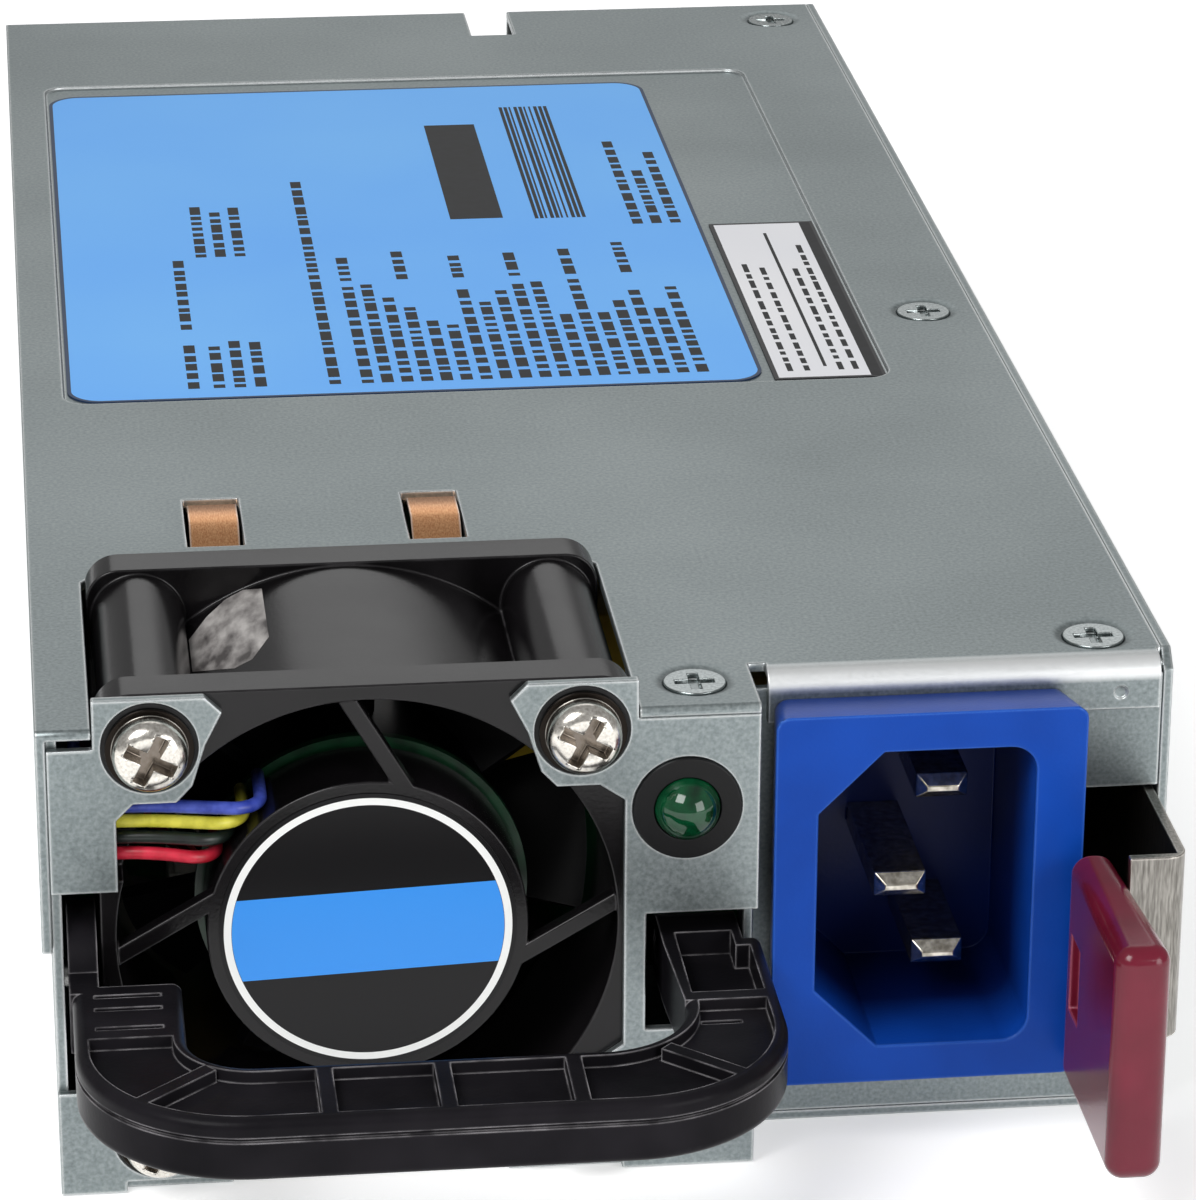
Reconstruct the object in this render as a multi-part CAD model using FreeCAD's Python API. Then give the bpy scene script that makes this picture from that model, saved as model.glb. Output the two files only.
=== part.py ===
import FreeCAD, Part
import math
import os

from FreeCAD import Vector

# A 1U hot-swap server power supply: a folded steel chassis with a fan, a carrying handle,
# a mains inlet and a release latch on its front, and a card edge at its back.
#
# Frame: millimetres, origin on the underside of the floor at the chassis' centre,
# +X to the right seen from the front, +Y from the front panel to the card edge, +Z up.

os.makedirs("parts", exist_ok=True)

# ---------------------------------------------------------------- driving dimensions
chassis_length = 187.0
sheet = 0.8                 # folded steel
moving_gap = 0.3            # between pieces that move past each other
slip_gap = 0.05             # between a pin or tab and the hole it sits in

fan_size = 40.0
fan_depth = 28.0
fan_screw_inset = 4.0       # fan side to screw
fan_left = 4.4              # chassis side to fan side
light_panel_width = 9.4     # fan side to the step between the front panel and the inlet
panel_over_fan = 0.8        # front panel's overlap on the fan's side

inlet_side_gap = 1.1        # step to the inlet's frame
inlet_width = 23.7          # the mains inlet stands on its side
inlet_height = 30.75
inlet_low = 6.35            # chassis underside to the inlet's frame
inlet_headroom = 0.5        # inlet's frame to the cover
inlet_setback = 6.5         # front panel face to inlet panel face
latch_bay = 7.8             # inlet's frame to the chassis side

# The fan, the light, the inlet and the latch stand side by side and fill the width.
fan_right = fan_left + fan_size
led_panel_left = fan_right - panel_over_fan
led_panel_right = fan_right + light_panel_width
inlet_left = led_panel_right + inlet_side_gap
chassis_width = inlet_left + inlet_width + latch_bay
chassis_height = inlet_low + inlet_height + inlet_headroom + sheet
fan_hole_spacing = fan_size - 2 * fan_screw_inset

left_x = -chassis_width / 2
right_x = chassis_width / 2
front_y = -chassis_length / 2
back_y = chassis_length / 2
cover_z = chassis_height - sheet        # underside of the top cover

fan_x = left_x + fan_left + fan_size / 2
fan_z = sheet + fan_size / 2
fan_front_y = front_y + sheet
fan_back_y = fan_front_y + fan_depth


# ---------------------------------------------------------------- helpers
def block(x0, x1, y0, y1, z0, z1):
    return Part.makeBox(x1 - x0, y1 - y0, z1 - z0, Vector(x0, y0, z0))


def rod(radius, start, end):
    a = Vector(*start)
    b = Vector(*end)
    return Part.makeCylinder(radius, (b - a).Length, a, b - a)


def cone(radius_start, radius_end, start, end):
    a = Vector(*start)
    b = Vector(*end)
    return Part.makeCone(radius_start, radius_end, (b - a).Length, a, b - a)


def tube(outer, inner, start, end):
    return rod(outer, start, end).cut(rod(inner, start, end))


def prism(points, thickness):
    """Solid from a closed outline of (x, y, z) points, pushed along the thickness vector."""
    loop = [Vector(*p) for p in points]
    return Part.Face(Part.makePolygon(loop + loop[:1])).extrude(Vector(*thickness))


def prism_xz(points, y0, y1):
    return prism([(x, y0, z) for x, z in points], (0, y1 - y0, 0))


def prism_xy(points, z0, z1):
    return prism([(x, y, z0) for x, y in points], (0, 0, z1 - z0))


def prism_yz(points, x0, x1):
    return prism([(x0, y, z) for y, z in points], (x1 - x0, 0, 0))


def rounded(shape, radius, axis, where=None):
    """Fillets the straight edges that run along one axis, all of them or those where() picks."""
    picked = []
    for edge in shape.Edges:
        if len(edge.Vertexes) != 2:
            continue
        run = edge.Vertexes[1].Point.sub(edge.Vertexes[0].Point)
        if abs(run.normalize().dot(axis)) > 0.999 and (where is None or where(edge.CenterOfMass)):
            picked.append(edge)
    return shape.makeFillet(radius, picked)


def cut(shape, tools):
    return shape.cut(tools) if tools else shape


def join(shapes):
    return shapes[0].fuse(shapes[1:]).removeSplitter()


def grid(xs, ys):
    return [(x, y) for x in xs for y in ys]


def spread(start, step, count):
    return [start + step * i for i in range(count)]


def save(name, shape):
    solids = shape if isinstance(shape, list) else [shape]
    body = solids[0] if len(solids) == 1 else Part.makeCompound(solids)
    body.exportStep("parts/%s.step" % name)


ALONG_X = Vector(1, 0, 0)
ALONG_Y = Vector(0, 1, 0)
ALONG_Z = Vector(0, 0, 1)

# ---------------------------------------------------------------- cover screws: where they bite
screw_edge = 5.4                                    # side wall to the right-hand row
cover_screw_head_r = 2.4
cover_screw_head_depth = 0.6                        # cover's top to the underside of the head
cover_screw_sunk = 0.15                             # cover's top to the head's face
cover_dimple_r = 3.3                                # pressed hollow round each head
cover_dimple_depth = 0.35
cover_screw_r = 1.4
cover_screw_length = 3.2
tab_reach = 8.4
tab_half = 4.0
side_screws = [(right_x - screw_edge, y) for y in (front_y + 10.9, front_y + 86.9, back_y - 5.2)]
panel_screw = (left_x + led_panel_right - 4.4, front_y + 5.1)     # over the front panel's top flange
cover_screw_places = side_screws + [panel_screw]

# ---------------------------------------------------------------- release latch: strap and wall window
strap_thick = 0.8
strap_low = 12.1
strap_high = 27.2
strap_front_y = front_y - 6.1                       # front face of the bent leg
strap_root_y = front_y + 46.0
strap_outer_x = right_x - sheet - moving_gap
strap_inner_x = strap_outer_x - strap_thick
tooth_y = front_y + 20.0
tooth_half = 4.0
tooth_reach = 1.4                                   # proud of the side wall
tooth_length = 5.0
strap_mid_z = (strap_low + strap_high) / 2
latch_rivet_r = 1.2
latch_rivet_head_r = 2.4
latch_rivet_head = 0.9
latch_rivet_half_pitch = 4.5
latch_rivet_zs = [strap_mid_z - latch_rivet_half_pitch, strap_mid_z + latch_rivet_half_pitch]

# ---------------------------------------------------------------- handle: pivots
pivot_y = front_y + 4.6
pivot_z = 16.5
pivot_pin_r = 1.25
handle_thick = 4.9
notch_low = pivot_z - 7.9                           # opening beside the fan, left
notch_high = pivot_z + 8.7
arm_opening_low = pivot_z - 4.7                     # opening in the front panel, right
arm_opening_high = pivot_z + 5.0
arm_opening_left = led_panel_left + 1.7
arm_opening_back = 2.6                              # front face to its end in the panel's side return

# ---------------------------------------------------------------- mains inlet: place and aperture
inlet_shell_width = inlet_width - 4.3
inlet_shell_height = inlet_height - 3.55
inlet_x = left_x + inlet_left + inlet_width / 2
inlet_z = inlet_low + inlet_height / 2
inlet_face_y = front_y
inlet_panel_y = front_y + inlet_setback             # front face of the inlet panel
lip_y = inlet_panel_y - sheet                       # front face of the cover's folded lip


def inlet_aperture(y0, y1):
    half_w = inlet_shell_width / 2 + slip_gap
    half_h = inlet_shell_height / 2 + slip_gap
    return block(inlet_x - half_w, inlet_x + half_w, y0, y1, inlet_z - half_h, inlet_z + half_h)


# ---------------------------------------------------------------- base_chassis
# Floor and both side walls folded from one sheet. The left wall stands one sheet inside the
# cover's deep flange. Tabs folded in from the right wall take the cover screws.
fan_relief = 3.0            # floor set back under the open fan
fan_relief_inset = 9.5
wall_corner = 1.4           # clipped top corner of the right wall
board_under = 4.0           # standoff height


def base_chassis():
    inside_left = left_x + 2 * sheet
    step_x = left_x + led_panel_right
    floor = block(left_x + sheet, step_x, front_y + sheet, back_y, 0, sheet)
    floor_right = block(step_x, right_x, inlet_panel_y, back_y, 0, sheet)
    left_wall = block(left_x + sheet, inside_left, front_y + sheet, back_y, 0, cover_z)
    right_wall = block(right_x - sheet, right_x, inlet_panel_y, back_y, 0, chassis_height)
    corner = prism_yz([(inlet_panel_y, chassis_height), (inlet_panel_y + wall_corner, chassis_height),
                       (inlet_panel_y, chassis_height - wall_corner)], right_x - sheet, right_x)
    relief_side = fan_size / 2 - fan_relief_inset
    relief = block(fan_x - relief_side, fan_x + relief_side, front_y, front_y + sheet + fan_relief, 0, sheet)
    window = block(right_x - sheet, right_x, tooth_y - tooth_length / 2 - moving_gap,
                   tooth_y + tooth_length / 2 + moving_gap,
                   strap_mid_z - tooth_half - moving_gap, strap_mid_z + tooth_half + moving_gap)
    rivet_holes = [rod(latch_rivet_r, (right_x - sheet, strap_root_y, z), (right_x, strap_root_y, z))
                   for z in latch_rivet_zs]
    pin_hole = rod(pivot_pin_r, (left_x, pivot_y, pivot_z), (inside_left, pivot_y, pivot_z))
    tabs = []
    for x, y in side_screws:
        tab = block(right_x - tab_reach, right_x - sheet, y - tab_half, y + tab_half, cover_z - sheet, cover_z)
        tabs.append(tab.cut(rod(cover_screw_r, (x, y, cover_z - sheet), (x, y, cover_z))))
    folded = join([floor, floor_right, left_wall, right_wall] + tabs)
    return cut(folded, [corner, relief, window, pin_hole] + rivet_holes + floor_rivet_holes())


# ---------------------------------------------------------------- front_panel
# Flat sheet across the front: an ear at each fan corner, a strip down the left side, and the
# panel with the status light. It stands clear of the handle's arms through two openings.
ear_reach = 5.4             # fan screw to the ear's inner side, at the top
ear_neck = 4.1
ear_drop = 4.5              # fan screw to the ear's lower edge
ear_overhang = 3.9          # fan screw to the ear's top edge
ear_outer = 4.2             # fan screw to the ear's outer side
ear_lobe = 1.3
ear_slope = 1.0             # neck's taper down to the first corner of the ear's lower edge
ear_slope_end = 2.2
right_ear_root = 10.0
strip_inner = fan_left + 1.4
grommet_r = 3.55
panel_top_flange = 9.0
led_x = left_x + fan_right + 3.9
led_z = cover_z - 7.4
led_hole_r = 4.1


def fan_screw_places():
    half = fan_hole_spacing / 2
    return [(fan_x + sx * half, fan_z + sz * half) for sx in (-1, 1) for sz in (-1, 1)]


def ear_outline(sx, sz, root_x, root_reach):
    """Ear round one fan screw, opening towards the fan's middle, with its root on root_x."""
    x = fan_x + sx * fan_hole_spacing / 2
    z = fan_z + sz * fan_hole_spacing / 2
    return [(x + sx * ear_outer, z + sz * ear_overhang),
            (x - sx * (ear_reach - ear_lobe), z + sz * ear_overhang),
            (x - sx * ear_reach, z + sz * (ear_overhang - ear_lobe)),
            (x - sx * ear_neck, z),
            (x - sx * (ear_neck - ear_slope), z - sz * (ear_drop - ear_lobe)),
            (x - sx * (ear_neck - ear_slope_end), z - sz * ear_drop),
            (x + sx * ear_lobe, z - sz * ear_drop),
            (root_x, z - sz * (ear_drop + ear_lobe)),
            (root_x, z - sz * root_reach),
            (x + sx * ear_outer, z - sz * root_reach)]


def front_panel():
    y0 = front_y
    y1 = front_y + sheet
    strip_x = left_x + strip_inner
    led_left_x = left_x + led_panel_left
    step_x = left_x + led_panel_right
    top_ear_z = fan_z + fan_hole_spacing / 2
    low_ear_z = fan_z - fan_hole_spacing / 2
    holes = [rod(grommet_r, (x, y0, z), (x, y1, z)) for x, z in fan_screw_places()]

    strip = block(left_x + sheet, strip_x, y0, y1, notch_high, cover_z - sheet)
    left_ear = prism_xz(ear_outline(-1, 1, strip_x, top_ear_z - notch_high), y0, y1)
    left_part = cut(join([strip, left_ear]), holes)

    low_strip = block(left_x + sheet, strip_x, y0, y1, 0, notch_low)
    low_ear = prism_xz(ear_outline(-1, -1, strip_x, notch_low - low_ear_z), y0, y1)
    low_part = cut(join([low_strip, low_ear]).common(block(left_x, step_x, y0, y1, 0, cover_z)), holes)

    light_panel = block(led_left_x, step_x, y0, y1, 0, cover_z)
    right_ears = [prism_xz(ear_outline(1, sz, led_left_x, right_ear_root), y0, y1) for sz in (-1, 1)]
    within = block(left_x, step_x, y0, y1, 0, chassis_height + ear_overhang)
    trimmed = [ear.common(within) for ear in right_ears]
    arm_opening = block(left_x + arm_opening_left, step_x, y0 - sheet, y0 + arm_opening_back,
                        arm_opening_low, arm_opening_high)
    side_return = block(step_x - sheet, step_x, y1, lip_y, sheet, cover_z)
    top_return = block(led_left_x + sheet, step_x - sheet, y1, y1 + panel_top_flange, cover_z - sheet, cover_z)
    return_gap = block(left_x, step_x, fan_front_y, fan_back_y, fan_z, chassis_height).common(
        block(led_left_x, fan_x + fan_size / 2 + moving_gap, fan_front_y, fan_back_y, 0, chassis_height))
    led_hole = rod(led_hole_r, (led_x, y0, led_z), (led_x, y1, led_z))
    screw_hole = rod(cover_screw_r, (panel_screw[0], panel_screw[1], cover_z - sheet),
                     (panel_screw[0], panel_screw[1], cover_z))
    pin_hole = rod(pivot_pin_r, (step_x - sheet, pivot_y, pivot_z), (step_x, pivot_y, pivot_z))
    right_part = join([light_panel, side_return, top_return] + trimmed)
    right_part = cut(right_part, holes + [arm_opening, led_hole, screw_hole, pin_hole, return_gap])
    return [left_part, low_part, right_part]


# ---------------------------------------------------------------- inlet_panel
# Set-back sheet that carries the mains inlet and lets the latch strap out. Its foot is
# riveted to the floor.
foot_depth = 6.0
latch_gap_high = strap_high + 0.2
latch_gap_low = strap_low - 0.7
foot_rivet_r = 1.2
foot_rivet_head_r = 2.2
foot_rivet_head = 0.7
foot_rivet_xs = [left_x + led_panel_right + 4.2, right_x - 11.4]
foot_rivet_y = inlet_panel_y + sheet + foot_depth / 2
rear_foot_inset = 12.0
rear_foot_xs = [left_x + rear_foot_inset, 0, right_x - rear_foot_inset]
rear_foot_y = back_y - sheet - foot_depth / 2


def foot_rivet_places():
    return [(x, foot_rivet_y) for x in foot_rivet_xs] + [(x, rear_foot_y) for x in rear_foot_xs]


def floor_rivet_holes():
    return [rod(foot_rivet_r, (x, y, 0), (x, y, sheet)) for x, y in foot_rivet_places()]


def foot(x0, x1, y0, y1, rivets):
    plate = block(x0, x1, y0, y1, sheet, 2 * sheet)
    return cut(plate, [rod(foot_rivet_r, (x, y, sheet), (x, y, 2 * sheet)) for x, y in rivets])


def inlet_panel():
    x0 = left_x + led_panel_right
    x1 = right_x - sheet
    y1 = inlet_panel_y + sheet
    wall = block(x0, x1, inlet_panel_y, y1, sheet, cover_z - sheet)
    latch_gap = block(inlet_x + inlet_width / 2 + slip_gap, x1, inlet_panel_y, y1,
                      latch_gap_low, latch_gap_high)
    foot_plate = foot(x0 + sheet, x1 - tab_reach, y1, y1 + foot_depth, foot_rivet_places()[:2])
    return join([cut(wall, [inlet_aperture(inlet_panel_y, y1), latch_gap]), foot_plate])


# ---------------------------------------------------------------- rear_panel
# Vented sheet across the back. The board's card edge passes through its slot.
vent_r = 1.6
vent_step = 4.6
vent_rows = 5
vent_margin = 6.0
board_thick = 1.6
board_z = sheet + board_under
card_edge_x0 = left_x + 14.0
card_edge_x1 = left_x + 66.0
card_edge_reach = 7.2
key_notch_left = 48.7                               # chassis side to the keying notch
key_notch_width = 4.5
key_notch_drop = 4.2                                # chassis top to the notch's floor in this sheet


def rear_panel():
    x0 = left_x + 2 * sheet
    x1 = right_x - sheet
    y0 = back_y - sheet
    wall = block(x0, x1, y0, back_y, sheet, cover_z)
    slot = block(card_edge_x0 - moving_gap, card_edge_x1 + moving_gap, y0, back_y,
                 board_z - moving_gap, board_z + board_thick + moving_gap)
    columns = int((x1 - x0 - 2 * vent_margin) / vent_step) + 1
    first_x = (x0 + x1 - vent_step * (columns - 1)) / 2
    first_z = cover_z - vent_margin - vent_step * (vent_rows - 1)
    vents = [rod(vent_r, (x, y0, z), (x, back_y, z))
             for x, z in grid(spread(first_x, vent_step, columns), spread(first_z, vent_step, vent_rows))]
    notch_x = left_x + key_notch_left
    notch = block(notch_x, notch_x + key_notch_width, y0, back_y,
                  chassis_height - key_notch_drop, chassis_height)
    foot_plate = foot(x0, x1, y0 - foot_depth, y0, foot_rivet_places()[2:])
    return join([cut(wall, [slot, notch] + vents), foot_plate])


# ---------------------------------------------------------------- panel_rivets
# Flush underneath, domed on the feet inside.
def panel_rivets():
    rivets = []
    for x, y in foot_rivet_places():
        shank = rod(foot_rivet_r, (x, y, 0), (x, y, 2 * sheet))
        head = cone(foot_rivet_head_r, foot_rivet_r, (x, y, 2 * sheet), (x, y, 2 * sheet + foot_rivet_head))
        rivets.append(join([shank, head]))
    return rivets


# ---------------------------------------------------------------- top_cover
# One folded sheet: deep left flange outside the base wall, shallow right flange inside it, a
# rolled lip over the inlet, a pressed recess for the labels, a cut-out that lets the fan
# stand proud, two windows for the grounding fingers and a keying notch at the back.
cover_left_flange = 18.0
cover_right_flange = 4.6
lip_drop = 4.2
lip_round = 2.0
lip_relief = 1.3            # slit between the step and the lip's end
lip_dimple_r = 0.5
lip_dimple_depth = 0.2
lip_dimple_side = 4.2       # chassis side to the dimple
lip_dimple_drop = 2.8       # chassis top to the dimple
cover_front_round = 0.5
fan_cut_corner = sheet + fan_depth + 0.2
fan_cut_back = fan_cut_corner + 5.2
fan_cut_corner_in = 4.0
fan_cut_gap = 0.25
key_notch_depth = 8.7
recess_depth = 0.3
recess_x0 = left_x + 3.7
recess_x1 = right_x - 11.2
recess_y0 = front_y + 69.6
recess_y1 = back_y - 23.5
recess_round = 2.0
finger_window_width = 4.5
finger_window_length = 10.4
finger_window_front = fan_cut_back + 1.5
finger_centres = [fan_x - 9.4, fan_x + 8.4]


def top_cover():
    x1 = right_x - sheet
    step_x = left_x + led_panel_right
    z0 = cover_z
    z1 = chassis_height
    top = block(left_x, x1, front_y, back_y, z0, z1)
    top = rounded(top, cover_front_round, ALONG_X,
                  lambda c: c.y < front_y + sheet and c.z > z1 - sheet / 2)
    step = block(step_x, x1 + sheet, front_y - sheet, lip_y + lip_round, z0, z1)
    flange_left = block(left_x, left_x + sheet, front_y, back_y, z1 - cover_left_flange, z0)
    flange_right = block(x1 - sheet, x1, inlet_panel_y + 2 * sheet, back_y - sheet, z0 - cover_right_flange, z0)
    lip = block(step_x + lip_relief, x1 - moving_gap, lip_y, lip_y + lip_round, z1 - lip_drop, z1)
    lip = cut(lip, [block(step_x, x1, lip_y + sheet, lip_y + lip_round, z1 - lip_drop, z0)])
    lip = rounded(lip, lip_round - moving_gap, ALONG_X, lambda c: c.y < lip_y + sheet / 2 and c.z > z0)

    fan_left_x = fan_x - fan_size / 2 - fan_cut_gap
    fan_right_x = fan_x + fan_size / 2 + fan_cut_gap
    corner_y = front_y + fan_cut_corner
    fan_cut = prism_xy([(fan_left_x, front_y - sheet), (fan_left_x, corner_y),
                        (fan_left_x + fan_cut_corner_in, front_y + fan_cut_back),
                        (fan_right_x - fan_cut_corner_in, front_y + fan_cut_back),
                        (fan_right_x, corner_y), (fan_right_x, front_y - sheet)], z0, z1)
    notch_x = left_x + key_notch_left
    notch = block(notch_x, notch_x + key_notch_width, back_y - key_notch_depth, back_y, z0, z1)
    recess = block(recess_x0, recess_x1, recess_y0, recess_y1, z1 - recess_depth, z1)
    recess = rounded(recess, recess_round, ALONG_Z)
    windows = [block(x - finger_window_width / 2, x + finger_window_width / 2,
                     front_y + finger_window_front, front_y + finger_window_front + finger_window_length,
                     z0, z1) for x in finger_centres]
    sinks = []
    tab_clear = []
    for x, y in cover_screw_places:
        sinks.append(rod(cover_screw_r + slip_gap, (x, y, z0), (x, y, z1)))
        sinks.append(rod(cover_screw_head_r, (x, y, z1 - cover_screw_head_depth), (x, y, z1)))
        sinks.append(cone(cover_screw_head_r, cover_dimple_r, (x, y, z1 - cover_dimple_depth), (x, y, z1)))
    for x, y in side_screws:
        tab_clear.append(block(x1 - sheet, x1, y - tab_half - moving_gap, y + tab_half + moving_gap,
                               z0 - sheet - moving_gap, z0))
    sheet_metal = join([cut(top, [step]), flange_left, lip, cut(flange_right, tab_clear)])
    inlet_clear = inlet_aperture(lip_y, lip_y + lip_round)
    dimple_at = (right_x - lip_dimple_side, z1 - lip_dimple_drop)
    dimple = rod(lip_dimple_r, (dimple_at[0], lip_y, dimple_at[1]),
                 (dimple_at[0], lip_y + lip_dimple_depth, dimple_at[1]))
    return cut(sheet_metal, [fan_cut, notch, recess, inlet_clear, dimple] + windows + sinks)


# ---------------------------------------------------------------- cover_screws
cross_arm = 1.5
cross_half = 0.4
cross_depth = 0.45


def cross_slot(x, y, z_top):
    arm_x = block(x - cross_arm, x + cross_arm, y - cross_half, y + cross_half, z_top - cross_depth, z_top)
    arm_y = block(x - cross_half, x + cross_half, y - cross_arm, y + cross_arm, z_top - cross_depth, z_top)
    return [arm_x, arm_y]


def cover_screws():
    screws = []
    z_head = chassis_height - cover_screw_head_depth
    z_face = chassis_height - cover_screw_sunk
    for x, y in cover_screw_places:
        head = rod(cover_screw_head_r - slip_gap, (x, y, z_head), (x, y, z_face))
        shank = rod(cover_screw_r, (x, y, chassis_height - cover_screw_length), (x, y, z_head))
        screws.append(cut(join([head, shank]), cross_slot(x, y, z_face)))
    return screws


# ---------------------------------------------------------------- grounding_fingers
# Copper leaves that rise through the cover's windows and press on the neighbouring module.
finger_width = 4.0
finger_thick = 0.2
finger_rise = 0.7           # above the cover
finger_root = 3.6           # length tucked under the cover behind the window
finger_tip_drop = 0.4
finger_crest_half = 2.0     # flat stretch at the top


def grounding_finger(x):
    z_root = cover_z - finger_thick
    y_back = front_y + finger_window_front + finger_window_length + finger_root
    y_root = front_y + finger_window_front + finger_window_length - moving_gap
    y_tip = front_y + finger_window_front + moving_gap
    y_crest = (y_root + y_tip) / 2
    z_crest = chassis_height + finger_rise
    upper = [(y_back, cover_z), (y_root, cover_z),
             (y_crest + finger_crest_half, z_crest), (y_crest - finger_crest_half, z_crest),
             (y_tip, z_root + finger_thick - finger_tip_drop)]
    lower = [(y, z - finger_thick) for y, z in reversed(upper)]
    return prism_yz(upper + lower, x - finger_width / 2, x + finger_width / 2)


# ---------------------------------------------------------------- fan_frame
# 40 mm fan shell: two flanges, a round duct between them, a post at each corner, and the
# motor's seat, a cup that opens backwards, held by four slanting struts in the front mouth.
flange_thick = 3.6
duct_outer_r = fan_size / 2 - 0.3
duct_inner_r = duct_outer_r - 0.9
post_r = 3.6
post_hole_r = 1.6
flange_round = 2.6
hub_r = 12.1
hub_seat = 6.7              # motor seat, front to back
hub_wall = 1.4
hub_boss_r = 5.2            # core that holds the bearing
strut_depth = 1.4
strut_width = 1.3
strut_count = 4
strut_start = 75.0          # degrees round the hub
strut_twist = 20.0
strut_bite = 0.5            # into the motor's seat and the duct
hub_front_y = fan_front_y + 0.2
seat_back_y = hub_front_y + hub_seat
bearing_outer_r = 2.6
wire_gap_low = 5.0          # above the fan's axis
wire_gap_high = 12.0
wire_gap_depth = 2.8
wire_gap_reach = 13.0       # fan's axis to the gap's inner end


def polar(radius, degrees):
    a = math.radians(degrees)
    return fan_x + radius * math.cos(a), fan_z + radius * math.sin(a)


def around_axis(radius, y0, y1):
    return rod(radius, (fan_x, y0, fan_z), (fan_x, y1, fan_z))


def fan_flange(y0, y1):
    half = fan_size / 2
    plate = block(fan_x - half, fan_x + half, y0, y1, fan_z - half, fan_z + half)
    return rounded(plate, flange_round, ALONG_Y)


def strut(angle):
    """Slanting bar from the motor's seat to the duct."""
    x0, z0 = polar(hub_r - strut_bite, angle)
    x1, z1 = polar(duct_inner_r + strut_bite, angle + strut_twist)
    run = Vector(x1 - x0, 0, z1 - z0)
    side = run.cross(ALONG_Y).normalize().multiply(strut_width / 2)
    corners = [Vector(x0, 0, z0) - side, Vector(x1, 0, z1) - side, Vector(x1, 0, z1) + side,
               Vector(x0, 0, z0) + side]
    return prism_xz([(c.x, c.z) for c in corners], hub_front_y, hub_front_y + strut_depth)


def fan_frame():
    front = fan_flange(fan_front_y, fan_front_y + flange_thick)
    back = fan_flange(fan_back_y - flange_thick, fan_back_y)
    axis0 = (fan_x, fan_front_y, fan_z)
    axis1 = (fan_x, fan_back_y, fan_z)
    duct = rod(duct_outer_r, axis0, axis1)
    posts = [rod(post_r, (x, fan_front_y, z), (x, fan_back_y, z)) for x, z in fan_screw_places()]
    post_holes = [rod(post_hole_r, (x, fan_front_y, z), (x, fan_back_y, z)) for x, z in fan_screw_places()]
    wire_gap = block(fan_x - fan_size / 2, fan_x - wire_gap_reach, fan_front_y,
                     fan_front_y + wire_gap_depth, fan_z + wire_gap_low, fan_z + wire_gap_high)
    shell = cut(join([front, back, duct] + posts), [rod(duct_inner_r, axis0, axis1), wire_gap] + post_holes)
    seat = around_axis(hub_r, hub_front_y, seat_back_y)
    cavity = around_axis(hub_r - hub_wall, hub_front_y + hub_wall, seat_back_y)
    seat = seat.cut(cavity.cut(around_axis(hub_boss_r, hub_front_y, seat_back_y)))
    struts = [strut(strut_start + 360.0 / strut_count * i) for i in range(strut_count)]
    return join([shell, seat] + struts)


# ---------------------------------------------------------------- fan motor, fixed pieces
label_thick = 0.1
motor_board_gap = 0.5
motor_board_thick = 0.8
rotor_gap = 1.0
rotor_r = hub_r - 0.3
rotor_length = fan_depth - 12.2
rotor_wall = 1.0
magnet_thick = 1.4
shaft_r = 1.0
shaft_running_gap = 0.03
stator_gap = 0.5
label_r = 11.2
motor_board_rim = 0.6       # board's edge beyond the motor's seat
stator_slots = 4
stator_slot_r = 1.9
stator_inset = 1.0          # bearing sleeve's end to the iron
bearing_inset = 2.0         # bearing sleeve's end to the rotor cup's floor
bearing_flange = 2.0
magnet_inset = 0.5
shaft_end_gap = 0.2
motor_board_y = seat_back_y + motor_board_gap
rotor_front_y = motor_board_y + motor_board_thick + rotor_gap
rotor_back_y = rotor_front_y + rotor_length
magnet_inner_r = rotor_r - rotor_wall - magnet_thick
stator_r = magnet_inner_r - stator_gap
sleeve_back_y = rotor_back_y - rotor_wall - bearing_inset


def fan_label():
    return around_axis(label_r, hub_front_y - label_thick, hub_front_y)


def fan_motor_board():
    disc = around_axis(hub_r + motor_board_rim, motor_board_y, motor_board_y + motor_board_thick)
    return disc.cut(around_axis(bearing_outer_r, motor_board_y, motor_board_y + motor_board_thick))


def fan_bearing():
    sleeve = around_axis(bearing_outer_r, seat_back_y, sleeve_back_y)
    flange = around_axis(bearing_outer_r + bearing_flange, seat_back_y, motor_board_y)
    bore = around_axis(shaft_r + shaft_running_gap, seat_back_y + sheet, sleeve_back_y)
    return join([sleeve, flange]).cut(bore)


def fan_stator():
    """Four iron poles with their coils, as one wound block round the bearing sleeve."""
    y0 = motor_board_y + motor_board_thick + rotor_gap
    y1 = sleeve_back_y - stator_inset
    ring = around_axis(stator_r, y0, y1)
    core = around_axis(bearing_outer_r, y0, y1)
    slots = []
    for i in range(stator_slots):
        x, z = polar(stator_r, 360.0 / stator_slots * (i + 0.5))
        slots.append(rod(stator_slot_r, (x, y0, z), (x, y1, z)))
    return cut(ring, [core] + slots)


# ---------------------------------------------------------------- fan_rotor
# Cup with seven swept blades, open towards the motor's seat. Magnet and shaft sit inside it.
blade_count = 7
blade_thick = 1.1
blade_tip_gap = 0.5
blade_pitch_root = 48.0     # degrees from the fan's axis
blade_pitch_tip = 60.0
blade_chord_root = rotor_length * 0.65
blade_chord_tip = rotor_length * 0.85
blade_bite = 0.7            # into the cup's wall
boss_wall = 1.4
boss_length = 1.2


def blade_section(radius, chord, pitch):
    """Thin rectangle square to the radius, leaning by pitch away from the fan's axis."""
    a = math.radians(pitch)
    along = Vector(0, math.cos(a), math.sin(a)).multiply(chord / 2)
    across = Vector(0, -math.sin(a), math.cos(a)).multiply(blade_thick / 2)
    centre = Vector(radius, 0, 0)
    corners = [centre - along - across, centre + along - across, centre + along + across,
               centre - along + across]
    return Part.makePolygon(corners + corners[:1])


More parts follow.
